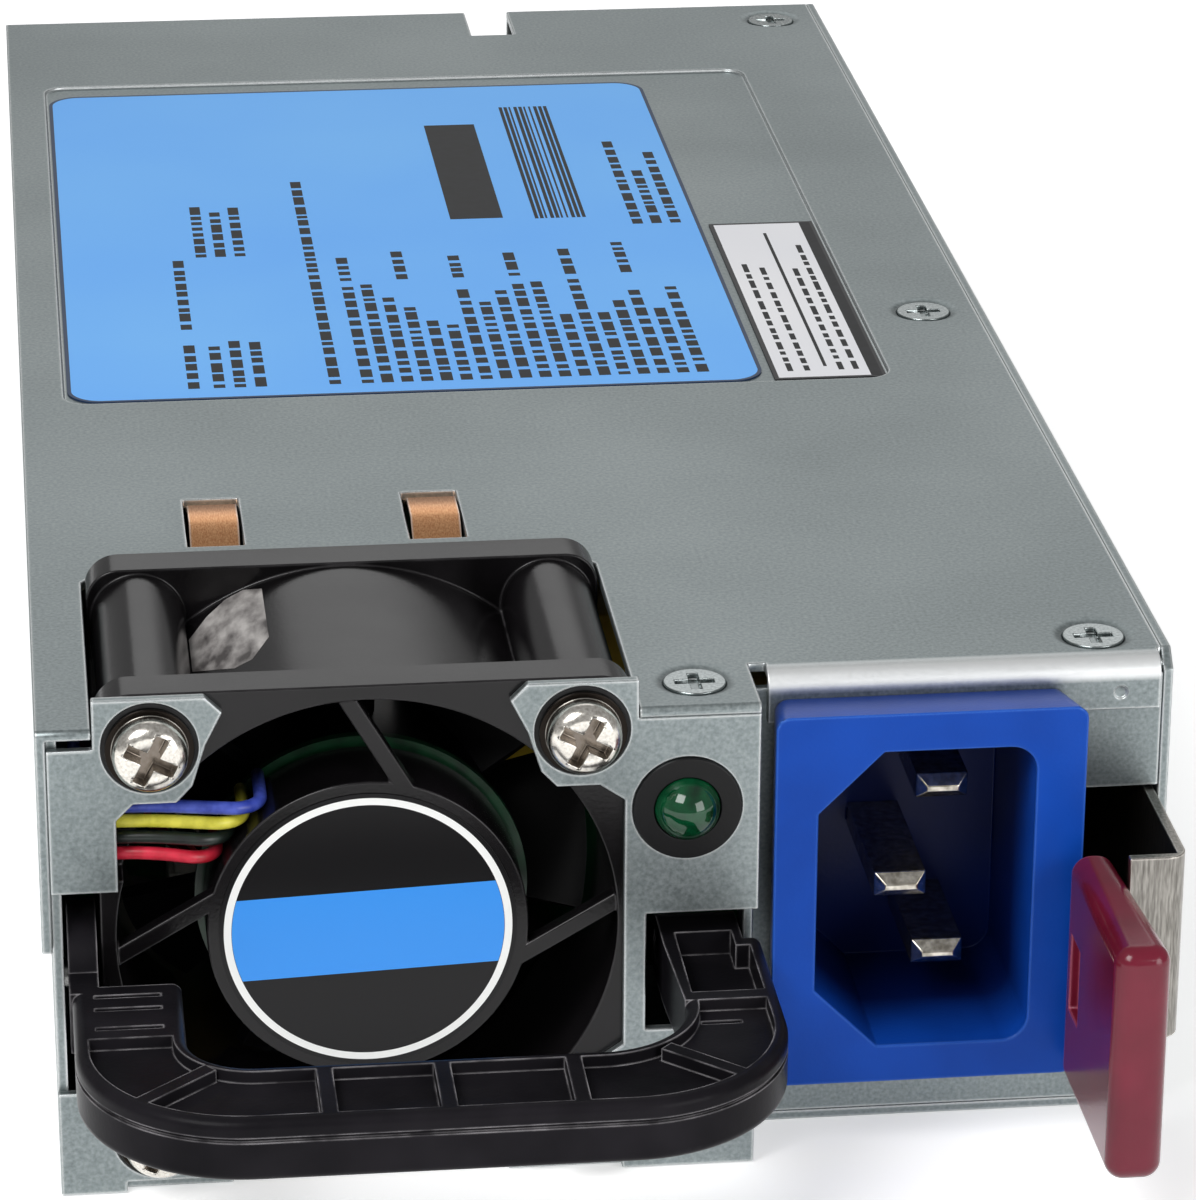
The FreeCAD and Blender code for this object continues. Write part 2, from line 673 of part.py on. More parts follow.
def fan_rotor():
    y_mid = (rotor_front_y + rotor_back_y) / 2
    cup = around_axis(rotor_r, rotor_front_y, rotor_back_y)
    hollow = around_axis(rotor_r - rotor_wall, rotor_front_y, rotor_back_y - rotor_wall)
    tip_r = duct_inner_r - blade_tip_gap
    root = blade_section(rotor_r - blade_bite, blade_chord_root, blade_pitch_root)
    tip = blade_section(tip_r, blade_chord_tip, blade_pitch_tip)
    blade = Part.makeLoft([root, tip], True, True)
    blade = blade.common(rod(tip_r, (0, -fan_depth, 0), (0, fan_depth, 0)))
    blades = []
    for i in range(blade_count):
        copy = blade.copy()
        copy.rotate(Vector(0, 0, 0), ALONG_Y, 360.0 / blade_count * i)
        copy.translate(Vector(fan_x, y_mid, fan_z))
        blades.append(copy)
    wheel = join([cup] + blades)
    boss_y = rotor_back_y - rotor_wall - boss_length
    boss = around_axis(shaft_r + boss_wall, boss_y, rotor_back_y - rotor_wall)
    bore = around_axis(shaft_r, boss_y, rotor_back_y - rotor_wall / 2)
    return cut(join([wheel.cut(hollow), boss]), [bore])


def fan_magnet():
    y0 = rotor_front_y + magnet_inset
    y1 = rotor_back_y - rotor_wall
    outer = around_axis(rotor_r - rotor_wall, y0, y1)
    return outer.cut(around_axis(magnet_inner_r, y0, y1))


def fan_shaft():
    return around_axis(shaft_r, seat_back_y + sheet + shaft_end_gap, rotor_back_y - rotor_wall / 2)


# ---------------------------------------------------------------- fan screws and grommets
screw_head_r = 3.3
screw_head_thick = 2.0
washer_thick = 0.5
fan_screw_r = 1.5
fan_screw_length = 12.0
screw_crown = 1.2           # rounding of the head's rim
screw_flat = 0.5            # washer's rim to the head
screw_slot_depth = 1.4
screw_cross_arm = 2.0
screw_cross_half = 0.5
screw_turn = 28.0           # degrees the driver left the crosses at


def fan_screws():
    screws = []
    for x, z in fan_screw_places():
        y_seat = front_y - washer_thick
        washer = rod(screw_head_r, (x, y_seat, z), (x, front_y, z))
        head = rod(screw_head_r - screw_flat, (x, y_seat - screw_head_thick, z), (x, y_seat, z))
        rim = [e for e in head.Edges if abs(e.BoundBox.YMin - (y_seat - screw_head_thick)) < slip_gap
               and e.BoundBox.YLength < slip_gap]
        head = head.makeFillet(screw_crown, rim)
        shank = rod(fan_screw_r, (x, front_y, z), (x, front_y + fan_screw_length, z))
        y_face = y_seat - screw_head_thick
        y_deep = y_face + screw_slot_depth
        slots = [block(x - across, x + across, y_face, y_deep, z - along, z + along)
                 for across, along in ((screw_cross_arm, screw_cross_half), (screw_cross_half, screw_cross_arm))]
        for slot in slots:
            slot.rotate(Vector(x, y_face, z), ALONG_Y, screw_turn)
        screws.append(cut(join([washer, head, shank]), slots))
    return screws


def fan_grommets():
    return [tube(grommet_r, fan_screw_r, (x, front_y, z), (x, front_y + sheet, z))
            for x, z in fan_screw_places()]


# ---------------------------------------------------------------- fan leads and plug
# Four thin leads from the motor's board, forward along its seat, across the mouth, then back
# beside the fan to the main board.
lead_r = 0.5
lead_start = [128.0, 136.0, 144.0, 152.0]       # degrees round the motor's seat
lead_mid_z = [fan_z + rise for rise in (10.6, 9.4, 8.1, 6.8)]
lead_turn_x = left_x + fan_left + 3.6
plug_x0 = left_x + 11.0
plug_width = 9.0
plug_depth = 6.0
plug_height = 5.0
plug_pitch = 2.0
plug_pin_inset = 1.5
lead_pitch = 1.6
lead_corner_reach = 2.4
lead_turn_depth = 3.2         # behind the fan
lead_drop_z = fan_z + 7.0
lead_plug_run = 3.0         # straight stretch into the plug
plug_front_y = fan_back_y + 7.2
header_height = 3.2
header_margin = 0.5


def bent_tube(points, radius, most_reach):
    """Round tube along straight runs, joined by tangent arcs as large as the runs and room allow."""
    pts = [Vector(*p) for p in points]
    edges = []
    start = pts[0]
    for i in range(1, len(pts) - 1):
        back = pts[i - 1] - pts[i]
        ahead = pts[i + 1] - pts[i]
        reach = min(0.45 * min(back.Length, ahead.Length), most_reach)
        back.normalize()
        ahead.normalize()
        half = back.getAngle(ahead) / 2
        bend = reach * math.tan(half)
        middle_dir = (back + ahead).normalize()
        centre = pts[i] + middle_dir * (bend / math.sin(half))
        enter = pts[i] + back * reach
        leave = pts[i] + ahead * reach
        edges.append(Part.LineSegment(start, enter).toShape())
        edges.append(Part.Arc(enter, centre - middle_dir * bend, leave).toShape())
        start = leave
    edges.append(Part.LineSegment(start, pts[-1]).toShape())
    section = Part.Wire(Part.makeCircle(radius, pts[0], pts[1] - pts[0]))
    return Part.Wire(edges).makePipeShell([section], True, True)


def fan_lead(i):
    y_mouth = hub_front_y + strut_depth / 2
    channel_x = left_x + (2 * sheet + fan_left) / 2
    drop_z = lead_drop_z - lead_pitch * i
    plug_lead_x = plug_x0 + plug_width - plug_pin_inset - plug_pitch * i
    plug_z = board_z + board_thick + header_height + plug_height / 2
    start_x, start_z = polar(hub_r + lead_r, lead_start[i])
    points = [(start_x, motor_board_y, start_z),
              (start_x, y_mouth, start_z),
              (lead_turn_x, y_mouth + 0.2, lead_mid_z[i]),
              (channel_x, y_mouth + 1.0, lead_mid_z[i] - 0.4),
              (channel_x, fan_back_y + lead_turn_depth, drop_z),
              (plug_lead_x, plug_front_y - lead_plug_run, plug_z),
              (plug_lead_x, plug_front_y, plug_z)]
    return bent_tube(points, lead_r, lead_corner_reach)


def fan_plug():
    z0 = board_z + board_thick + header_height
    return block(plug_x0, plug_x0 + plug_width, plug_front_y, plug_front_y + plug_depth, z0, z0 + plug_height)


def fan_header():
    z0 = board_z + board_thick
    return block(plug_x0 - header_margin, plug_x0 + plug_width + header_margin,
                 plug_front_y, plug_front_y + plug_depth, z0, z0 + header_height)


# ---------------------------------------------------------------- handle
# Black moulded loop in front of the fan. Its left arm narrows beside the fan to a disc on a
# pin, its right arm runs through the front panel to a second pin.
handle_left = 2.1
handle_right = led_panel_right + 0.3
handle_reach = 25.3         # front panel to the loop's front edge
handle_bar = 8.7
handle_left_bar = 8.1
handle_right_bar = 7.1
handle_corner_r = 12.5
handle_inner_left_r = 5.0
handle_inner_right_r = 7.0
handle_edge_round = 0.8
pocket_depth = 1.0
pocket_rim = 1.0
web_xs = [left_x + (handle_left + handle_right) / 2 + shift for shift in (-8.3, 0.2, 9.7)]
web_width = 1.2
left_arm_end = 2.9          # in front of the front panel
right_arm_wide_end = -0.4   # inside the front panel's opening
left_disc_r = 5.6
left_disc_x0 = left_x + 2 * sheet + moving_gap
left_disc_x1 = left_x + fan_left - moving_gap
right_neck_x1 = left_x + led_panel_right - sheet - moving_gap
right_well_length = 8.2
right_well_depth = 2.0
groove_depth = 0.4
groove_width = 0.5
groove_end = 1.6            # arm's side to the groove's end
left_groove_ys = [front_y - 4.8, front_y - 6.9, front_y - 10.0]
right_dish_y = front_y - 9.5                        # back end of the dish in the right arm
right_groove_y = front_y - 11.6
right_groove_length = 3.0
arm_lap = 1.0               # neck's overlap with the wide arm
pocket_gap = 1.3            # last groove to the dish
well_rim = 0.7              # arm's inner side to the well
well_back = 1.9
arm_flare = 0.4             # right arm's inner side spreads towards the panel
arm_flare_length = 9.5
web_shift_left = 1.5        # loop's inner corner to the diagonal web's inner end
web_shift_right = -2.3
seam_drop = 1.7             # handle's top to the mould's parting line
seam_height = 0.35
seam_depth = 0.25


def handle_outline(inset, z0, z1):
    x0 = left_x + handle_left + inset
    x1 = left_x + handle_right - inset
    y0 = front_y - handle_reach + inset
    return rounded(block(x0, x1, y0, front_y + sheet, z0, z1), handle_corner_r - inset, ALONG_Z,
                   lambda c: c.y < y0 + 1.0)


def handle_loop(inset, z0, z1):
    """The U between the arms' ends, shrunk from every side by inset."""
    in_x0 = left_x + handle_left + handle_left_bar - inset
    in_x1 = left_x + handle_right - handle_right_bar + inset
    in_y0 = front_y - handle_reach + handle_bar - inset
    y_far = front_y + sheet
    inner = rounded(block(in_x0, in_x1, in_y0, y_far, z0, z1), handle_inner_left_r + inset, ALONG_Z,
                    lambda c: c.y < in_y0 + 1.0 and c.x < in_x0 + 1.0)
    inner = rounded(inner, handle_inner_right_r + inset, ALONG_Z,
                    lambda c: c.y < in_y0 + 1.0 and c.x > in_x1 - 1.0)
    return handle_outline(inset, z0, z1).cut(inner)


def corner_web(inner_x, outer_x, z0, z1):
    """Web across the dish from the loop's inner corner to its outer one."""
    inner = Vector(inner_x, front_y - handle_reach + handle_bar, 0)
    outer = Vector(outer_x, front_y - handle_reach, 0)
    side = (outer - inner).cross(ALONG_Z).normalize().multiply(web_width / 2)
    corners = (inner - side, outer - side, outer + side, inner + side)
    return prism_xy([(c.x, c.y) for c in corners], z0, z1)


def handle():
    z0 = pivot_z - handle_thick / 2
    z1 = pivot_z + handle_thick / 2
    x_mid = left_x + (handle_left + handle_right) / 2
    x_right = left_x + handle_right
    loop = handle_loop(0.0, z0, z1)
    rim = [e for e in loop.Edges if e.BoundBox.ZLength < slip_gap
           and e.BoundBox.YMax < front_y + sheet + slip_gap and e.BoundBox.YMin < front_y + sheet - slip_gap]
    loop = loop.makeFillet(handle_edge_round, rim)
    behind_left = block(left_x, x_mid, front_y - left_arm_end, front_y + fan_depth, z0, z1)
    behind_right = block(x_mid, x_right + sheet, front_y - right_arm_wide_end, front_y + fan_depth, z0, z1)
    loop = cut(loop, [behind_left, behind_right])

    in_left = left_x + handle_left + handle_left_bar
    in_right = x_right - handle_right_bar
    neck_left = in_right - arm_flare
    flare = prism_xy([(in_right, front_y - arm_flare_length), (neck_left, front_y), (neck_left, pivot_y),
                      (in_right + arm_lap, pivot_y), (in_right + arm_lap, front_y - arm_flare_length)], z0, z1)
    left_neck = block(left_disc_x0, left_disc_x1, front_y - left_arm_end - arm_lap, pivot_y, z0, z1)
    left_disc = rod(left_disc_r, (left_disc_x0, pivot_y, pivot_z), (left_disc_x1, pivot_y, pivot_z))
    right_neck = block(in_right, right_neck_x1, front_y - right_arm_wide_end - arm_lap, pivot_y, z0, z1)
    right_eye = rod(handle_thick / 2, (neck_left, pivot_y, pivot_z), (right_neck_x1, pivot_y, pivot_z))
    body = join([loop, flare, left_neck, left_disc, right_neck, right_eye])

    pockets = handle_loop(pocket_rim, z1 - pocket_depth, z1)
    dish_left = block(left_x, x_mid, front_y - handle_reach, min(left_groove_ys) - pocket_gap, z0, z1)
    dish_right = block(x_mid, x_right, front_y - handle_reach, right_dish_y, z0, z1)
    pockets = pockets.common(join([dish_left, dish_right]))
    webs = [block(x - web_width / 2, x + web_width / 2, front_y - handle_reach, front_y, z0, z1)
            for x in web_xs]
    webs += [corner_web(in_left + web_shift_left, left_x + handle_left, z0, z1),
             corner_web(in_right + web_shift_right, x_right, z0, z1)]
    pockets = cut(pockets, webs)
    seam_z = z1 - seam_drop
    seam = handle_outline(0.0, seam_z, seam_z + seam_height).cut(
        handle_outline(seam_depth, seam_z, seam_z + seam_height))
    seam = seam.common(block(left_x, right_x, front_y - handle_reach, front_y - left_arm_end, z0, z1))
    well_z = z1 - right_well_depth
    well_x = in_right + well_rim
    wide_well = block(well_x, x_right - pocket_rim, front_y - right_well_length, front_y - well_rim, well_z, z1)
    neck_well = block(well_x, right_neck_x1 - well_rim, front_y - sheet, front_y + well_back, well_z, z1)
    grooves = [block(left_x + handle_left + groove_end, in_left - groove_end, y, y + groove_width,
                     z1 - groove_depth, z1) for y in left_groove_ys]
    dish_z = z1 - pocket_depth
    grooves.append(block(in_right + pocket_rim, in_right + pocket_rim + right_groove_length,
                         right_groove_y, right_groove_y + groove_width, dish_z - groove_depth, dish_z))
    bore_r = pivot_pin_r + slip_gap
    bores = [rod(bore_r, (left_disc_x0, pivot_y, pivot_z), (left_disc_x1, pivot_y, pivot_z)),
             rod(bore_r, (neck_left, pivot_y, pivot_z), (right_neck_x1, pivot_y, pivot_z))]
    return cut(body, [pockets, join([wide_well, neck_well]), seam] + grooves + bores)


def handle_pins():
    left_pin = rod(pivot_pin_r, (left_x + sheet, pivot_y, pivot_z), (left_disc_x1, pivot_y, pivot_z))
    step_x = left_x + led_panel_right
    right_pin = rod(pivot_pin_r, (step_x - handle_right_bar, pivot_y, pivot_z), (step_x, pivot_y, pivot_z))
    return [left_pin, right_pin]


# ---------------------------------------------------------------- latch_strap, latch_rivets
# Spring-steel strap held at its root inside the right wall. Its tooth stands out through the
# wall's window, and its front end is bent across to carry the release tab.
strap_bend_r = 1.6
strap_tail = 3.0
tongue_low = strap_low + 1.3
tongue_high = strap_low + 7.5
tab_left_x = left_x + inlet_left + inlet_width - 1.3
tab_front_width = 4.3
tab_back_width = 3.2
tab_front_y = front_y - 18.7
tab_back_y = front_y - 2.0
tab_low = strap_low - 5.4
tab_high = strap_low + 13.6
tab_round = 1.4
tab_window_depth = 0.8
tab_window_back = 3.2


def tab_right_x(y):
    """X of the tab's right face, which tapers towards the back."""
    share = (y - tab_front_y) / (tab_back_y - tab_front_y)
    return tab_left_x + tab_front_width + share * (tab_back_width - tab_front_width)


def latch_strap():
    y_bend = strap_front_y + strap_thick
    leg_end_x = tab_right_x(strap_front_y) + slip_gap
    leg = block(strap_inner_x, strap_outer_x, strap_front_y, strap_root_y + strap_tail, strap_low, strap_high)
    front = block(leg_end_x, strap_outer_x, strap_front_y, y_bend, strap_low, strap_high)
    strap = join([leg, front])
    strap = rounded(strap, strap_bend_r, ALONG_Z,
                    lambda c: c.y < strap_front_y + slip_gap and c.x > strap_outer_x - slip_gap)
    tongue = block(tab_left_x + tab_window_depth, leg_end_x, strap_front_y, y_bend, tongue_low, tongue_high)
    tooth = prism_xy([(strap_inner_x, tooth_y - tooth_length / 2),
                      (right_x + tooth_reach, tooth_y - tooth_length / 2),
                      (right_x + tooth_reach, tooth_y - tooth_length / 4),
                      (strap_inner_x, tooth_y + tooth_length / 2)],
                     strap_mid_z - tooth_half, strap_mid_z + tooth_half)
    holes = [rod(latch_rivet_r + moving_gap, (strap_inner_x, strap_root_y, z), (strap_outer_x, strap_root_y, z))
             for z in latch_rivet_zs]
    return cut(join([strap, tongue, tooth]), holes)


def latch_rivets():
    rivets = []
    for z in latch_rivet_zs:
        head_x = strap_inner_x - moving_gap
        shank = rod(latch_rivet_r, (head_x, strap_root_y, z), (right_x, strap_root_y, z))
        head = rod(latch_rivet_head_r, (head_x - latch_rivet_head, strap_root_y, z), (head_x, strap_root_y, z))
        rivets.append(join([shank, head]))
    return rivets


# ---------------------------------------------------------------- release_tab
def release_tab():
    x_front = tab_left_x + tab_front_width
    x_back = tab_left_x + tab_back_width
    body = prism_xy([(tab_left_x, tab_front_y), (x_front, tab_front_y), (x_back, tab_back_y),
                     (tab_left_x, tab_back_y)], tab_low, tab_high)
    body = body.makeFillet(tab_round, [e for e in body.Edges if e.CenterOfMass.y < tab_back_y - slip_gap])
    slot = block(tab_left_x + tab_window_depth, x_front, strap_front_y, strap_front_y + strap_thick,
                 tongue_low, tongue_high)
    window = block(tab_left_x, tab_left_x + tab_window_depth, strap_front_y, strap_front_y + tab_window_back,
                   tongue_low, tongue_high)
    return cut(body, [slot, window])


# ---------------------------------------------------------------- inlet_body
# Blue C14 inlet standing on its side: tapered front frame, snap-in shell and a socket with
# two cut corners on the earth side.
socket_width = 16.5
socket_height = 24.5
socket_corner = 4.9
socket_corner_round = 2.0
socket_depth = 16.0
inlet_floor = 2.0
frame_taper_x = 0.7
frame_taper_z = 0.9
frame_corner_r = 1.1
snap_reach = 0.8
snap_length = 3.0
snap_half = 4.0
pin_width = 4.0
pin_thick = 2.0
pin_offset = 2.05           # earth to one side of the middle, line and neutral to the other
pin_spacing = 7.0           # line and neutral above and below the middle
earth_offset = 1.4
pin_recess = 4.6
earth_recess = 2.2
terminal_thick = 0.8
terminal_length = 7.0
pin_tip = 0.8               # chamfer on each pin's end
socket_x = inlet_x - 0.25


def rectangle(x_half, z_half, y):
    pts = [Vector(inlet_x + sx * x_half, y, inlet_z + sz * z_half)
           for sx, sz in ((-1, -1), (1, -1), (1, 1), (-1, 1))]
    return Part.makePolygon(pts + pts[:1])


def inlet_pin_places():
    """(x, z, recess) of line, neutral and earth."""
    return [(socket_x + pin_offset, inlet_z + pin_spacing, pin_recess),
            (socket_x + pin_offset, inlet_z - pin_spacing, pin_recess),
            (socket_x - earth_offset, inlet_z, earth_recess)]


def inlet_body():
    half_w = inlet_width / 2
    half_h = inlet_height / 2
    frame_back = rectangle(half_w - frame_taper_x, half_h - frame_taper_z, lip_y)
    frame = Part.makeLoft([rectangle(half_w, half_h, inlet_face_y), frame_back], True, True)
    frame = frame.makeFillet(frame_corner_r, [e for e in frame.Edges if e.BoundBox.YLength > sheet])
    shell_w = inlet_shell_width / 2
    shell_h = inlet_shell_height / 2
    back = inlet_face_y + socket_depth + inlet_floor
    shell = block(inlet_x - shell_w, inlet_x + shell_w, lip_y, back, inlet_z - shell_h, inlet_z + shell_h)
    snaps = []
    y_snap = inlet_panel_y + sheet + slip_gap
    for side in (-1, 1):
        x_side = inlet_x + side * shell_w
        snaps.append(prism_xy([(x_side, y_snap), (x_side + side * snap_reach, y_snap),
                               (x_side, y_snap + snap_length)],
                              inlet_z - snap_half, inlet_z + snap_half))
    w = socket_width / 2
    h = socket_height / 2
    socket = prism_xz([(socket_x - w + socket_corner, inlet_z - h), (socket_x + w, inlet_z - h),
                       (socket_x + w, inlet_z + h), (socket_x - w + socket_corner, inlet_z + h),
                       (socket_x - w, inlet_z + h - socket_corner), (socket_x - w, inlet_z - h + socket_corner)],
                      inlet_face_y, inlet_face_y + socket_depth)
    socket = rounded(socket, socket_corner_round, ALONG_Y, lambda c: c.x > socket_x + w - slip_gap)
    slots = [block(x - pin_width / 2, x + pin_width / 2, inlet_face_y + socket_depth, back,
                   z - terminal_thick / 2, z + terminal_thick / 2) for x, z, _ in inlet_pin_places()]
    return cut(join([frame, shell] + snaps), [socket] + slots)


# ---------------------------------------------------------------- inlet_pins
def inlet_pins():
    pins = []
    y_floor = inlet_face_y + socket_depth
    for x, z, recess in inlet_pin_places():
        blade = block(x - pin_width / 2, x + pin_width / 2, inlet_face_y + recess, y_floor,
                      z - pin_thick / 2, z + pin_thick / 2)
        tip = [e for e in blade.Edges if e.CenterOfMass.y < inlet_face_y + recess + slip_gap]
        blade = blade.makeChamfer(pin_tip, tip)
        terminal = block(x - pin_width / 2, x + pin_width / 2, y_floor, y_floor + inlet_floor + terminal_length,
                         z - terminal_thick / 2, z + terminal_thick / 2)
        pins.append(join([blade, terminal]))
    return pins


# ---------------------------------------------------------------- inlet leads
# From the inlet's terminals down to the board.
mains_lead_r = 1.1
mains_corner_reach = 4.0
mains_pad_y = fan_back_y + 8.2
mains_pad_xs = [right_x - 12.4, right_x - 19.4, right_x - 26.4]
mains_pad_rise = 8.0
lead_sweep_y = mains_pad_y - 5.5


def mains_lead(i):
    x, z, _ = inlet_pin_places()[i]
    y_start = inlet_face_y + socket_depth + inlet_floor + terminal_length
    pad_z = board_z + board_thick
    mid_z = min(z, pad_z + mains_pad_rise)
    points = [(x, y_start, z), (x, lead_sweep_y, z), (mains_pad_xs[i], mains_pad_y, mid_z),
              (mains_pad_xs[i], mains_pad_y, pad_z)]
    return bent_tube(points, mains_lead_r, mains_corner_reach)


# ---------------------------------------------------------------- status light
lens_r = 2.5
lens_proud = 2.3
holder_proud = 0.3
holder_r = 3.5
led_board_thick = 1.2
led_board_half = 3.8
led_board_drop = 6.0
led_board_rise = 4.2
holder_back_y = front_y + 4.2


def led_holder():
    bezel = rod(led_hole_r, (led_x, front_y - holder_proud, led_z), (led_x, front_y + sheet, led_z))
    barrel = rod(holder_r, (led_x, front_y, led_z), (led_x, holder_back_y, led_z))
    bore = rod(lens_r, (led_x, front_y - holder_proud, led_z), (led_x, holder_back_y, led_z))
    return join([bezel, barrel]).cut(bore)


def led_lens():
    y_dome = front_y - lens_proud + lens_r
    dome = Part.makeSphere(lens_r, Vector(led_x, y_dome, led_z))
    barrel = rod(lens_r, (led_x, y_dome, led_z), (led_x, holder_back_y, led_z))
    front_half = dome.common(block(led_x - lens_r, led_x + lens_r, y_dome - lens_r, y_dome,
                                   led_z - lens_r, led_z + lens_r))
    return join([front_half, barrel])


def led_board():
    return block(led_x - led_board_half, led_x + led_board_half, holder_back_y, holder_back_y + led_board_thick,
                 led_z - led_board_drop, led_z + led_board_rise)


# ---------------------------------------------------------------- labels in the cover's recess
sticker_thick = 0.15
label_margin = 0.6
label_gap = 0.8
label_side_margin = 0.3
serial_label_width = 9.8
serial_label_length = 43.2
rating_label_short = 3.1    # bare stretch of the recess behind the label
rating_label_round = 3.0
serial_label_x0 = recess_x1 - label_side_margin - serial_label_width


def sticker(x0, x1, y0, y1, corner):
    z0 = chassis_height - recess_depth
    flat = block(x0, x1, y0, y1, z0, z0 + sticker_thick)
    return rounded(flat, corner, ALONG_Z) if corner else flat


def rating_label():
    return sticker(recess_x0 + label_side_margin, serial_label_x0 - label_gap,
                   recess_y0 + label_margin, recess_y1 - rating_label_short, rating_label_round)


def serial_label():
    y0 = recess_y0 + label_margin
    return sticker(serial_label_x0, serial_label_x0 + serial_label_width, y0, y0 + serial_label_length, 0)


# ---------------------------------------------------------------- main_board and what holds it
board_x0 = left_x + 3.0
board_x1 = right_x - 3.0
board_y0 = fan_back_y + 4.2
board_y1 = back_y - 2 * sheet
board_top = board_z + board_thick
standoff_r = 2.5
board_screw_r = 1.25
board_hole_r = 1.6
board_screw_head_r = 2.6
board_screw_head = 1.6
standoff_inset = 4.0
standoff_back_inset = 8.0
film_thick = 0.3
film_short = 7.0            # clear of the rear panel's foot
board_screw_reach = 2.8     # into the standoff


def standoff_places():
    xs = [board_x0 + standoff_inset, board_x1 - standoff_inset]
    ys = [board_y0 + standoff_inset, heatsink_y0 - standoff_inset, board_y1 - standoff_back_inset]
    return grid(xs, ys)


def main_board():
    plate = block(board_x0, board_x1, board_y0, board_y1, board_z, board_top)
    tongue = block(card_edge_x0, card_edge_x1, board_y1, back_y + card_edge_reach, board_z, board_top)
    holes = [rod(board_hole_r, (x, y, board_z), (x, y, board_top)) for x, y in standoff_places()]
    return cut(join([plate, tongue]), holes)


pad_width = 1.4
pad_step = 2.2
pad_length = 6.0
pad_thick = 0.1
pad_end_gap = 0.6


def edge_contacts():
    """Gold pads on both faces of the card edge."""
    count = int((card_edge_x1 - card_edge_x0 - pad_step) / pad_step)
    first = (card_edge_x0 + card_edge_x1 - pad_step * (count - 1)) / 2
    y1 = back_y + card_edge_reach - pad_end_gap
    pads = []
    for x in spread(first, pad_step, count):
        for z in (board_z - pad_thick, board_top):
            pads.append(block(x - pad_width / 2, x + pad_width / 2, y1 - pad_length, y1, z, z + pad_thick))
    return pads


def insulation_sheet():
    film = block(board_x0, board_x1, board_y0, board_y1 - film_short, sheet, sheet + film_thick)
    holes = [rod(standoff_r + moving_gap, (x, y, sheet), (x, y, sheet + film_thick)) for x, y in standoff_places()]
    return cut(film, holes)


def board_standoffs():
    posts = []
    for x, y in standoff_places():
        posts.append(tube(standoff_r, board_screw_r, (x, y, sheet), (x, y, board_z)))
    return posts


def board_screws():
    screws = []
    for x, y in standoff_places():
        shank = rod(board_screw_r, (x, y, board_z - board_screw_reach), (x, y, board_top))
        head = rod(board_screw_head_r, (x, y, board_top), (x, y, board_top + board_screw_head))
        screws.append(cut(join([head, shank]), cross_slot(x, y, board_top + board_screw_head)))
    return screws


# ---------------------------------------------------------------- parts on the board
# The mains side fills the front and the right, the bulk capacitor lies on the left, and the
# output side stands at the back. Each piece keeps its distance from the nearest side (_side),
# from the board's front edge (_row) or from the back of the chassis (_back), and its height
# follows the room under the cover.
room = cover_z - board_top
body_round = 0.8


def on_board(x, y, width, depth, height, lift=0.0):
    """Block standing on the board, centred on (x, y)."""
    z0 = board_top + lift
    return block(x - width / 2, x + width / 2, y - depth / 2, y + depth / 2, z0, z0 + height)


def moulded(x, y, width, depth, height):
    return rounded(on_board(x, y, width, depth, height), body_round, ALONG_Z)


def can(x, y, radius, height):
    return rod(radius, (x, y, board_top), (x, y, board_top + height))


# ---------------------------------------------------------------- chokes
wire_thick = 1.2
choke_side = 19.2
choke_x = right_x - choke_side
choke_row = 29.0
choke_y = board_y0 + choke_row
choke_outer_r = 9.0
choke_inner_r = 5.0
choke_height = 8.0
choke_lift = 1.4
choke_turns = 8             # on each half
pfc_side = 23.2
pfc_x = right_x - pfc_side
pfc_row = 66.5
pfc_y = board_y0 + pfc_row
pfc_outer_r = 11.5
pfc_inner_r = 6.0
pfc_height = 13.0
pfc_lift = 1.6
pfc_turns = 19


def toroid(x, y, outer_r, inner_r, height, lift):
    z0 = board_top + lift
    return tube(outer_r, inner_r, (x, y, z0), (x, y, z0 + height))


def toroid_turns(x, y, outer_r, inner_r, height, lift, arcs, turns):
    """Square copper loops round a toroid's section, spaced along the given arcs in degrees."""
    z0 = board_top + lift
    half = wire_thick / 2
    loops = []
    for first, last in arcs:
        for i in range(turns):
            sleeve = block(inner_r - wire_thick, outer_r + wire_thick, -half, half,
                           z0 - wire_thick, z0 + height + wire_thick)
            core = block(inner_r - slip_gap, outer_r + slip_gap, -wire_thick, wire_thick,
                         z0 - slip_gap, z0 + height + slip_gap)
            loop = sleeve.cut(core)
            loop.rotate(Vector(0, 0, 0), ALONG_Z, first + (last - first) * i / (turns - 1))
            loop.translate(Vector(x, y, 0))
            loops.append(loop)
    return loops


def emi_choke_core():
    return toroid(choke_x, choke_y, choke_outer_r, choke_inner_r, choke_height, choke_lift)


def emi_choke_winding():
    return toroid_turns(choke_x, choke_y, choke_outer_r, choke_inner_r, choke_height, choke_lift,
                        [(20.0, 160.0), (200.0, 340.0)], choke_turns)


def pfc_choke_core():
    return toroid(pfc_x, pfc_y, pfc_outer_r, pfc_inner_r, pfc_height, pfc_lift)


def pfc_choke_winding():
    return toroid_turns(pfc_x, pfc_y, pfc_outer_r, pfc_inner_r, pfc_height, pfc_lift,
                        [(15.0, 345.0)], pfc_turns)


# ---------------------------------------------------------------- mains filter, fuse, relay, rectifier
filter_row = 13.5
filter_y = board_y0 + filter_row
filter_width = 18.0
filter_depth = 9.0
filter_height = 16.0
disc_r = 4.2
disc_thick = 3.2
disc_reach = 12.4           # choke's axis to each disc
fuse_side = 33.2
fuse_x = right_x - fuse_side
fuse_row = 13.0
fuse_y = board_y0 + fuse_row
fuse_half_length = 8.0
fuse_r = 2.6
fuse_lift = 3.0
clip_width = 6.0
clip_depth = 4.0
relay_row = 47.0
relay_y = board_y0 + relay_row
relay_width = 18.0
relay_depth = 13.0
relay_height = 15.0
rectifier_side = 7.6
rectifier_x = right_x - rectifier_side
rectifier_thick = 5.0
rectifier_depth = 20.0
rectifier_height = 19.0


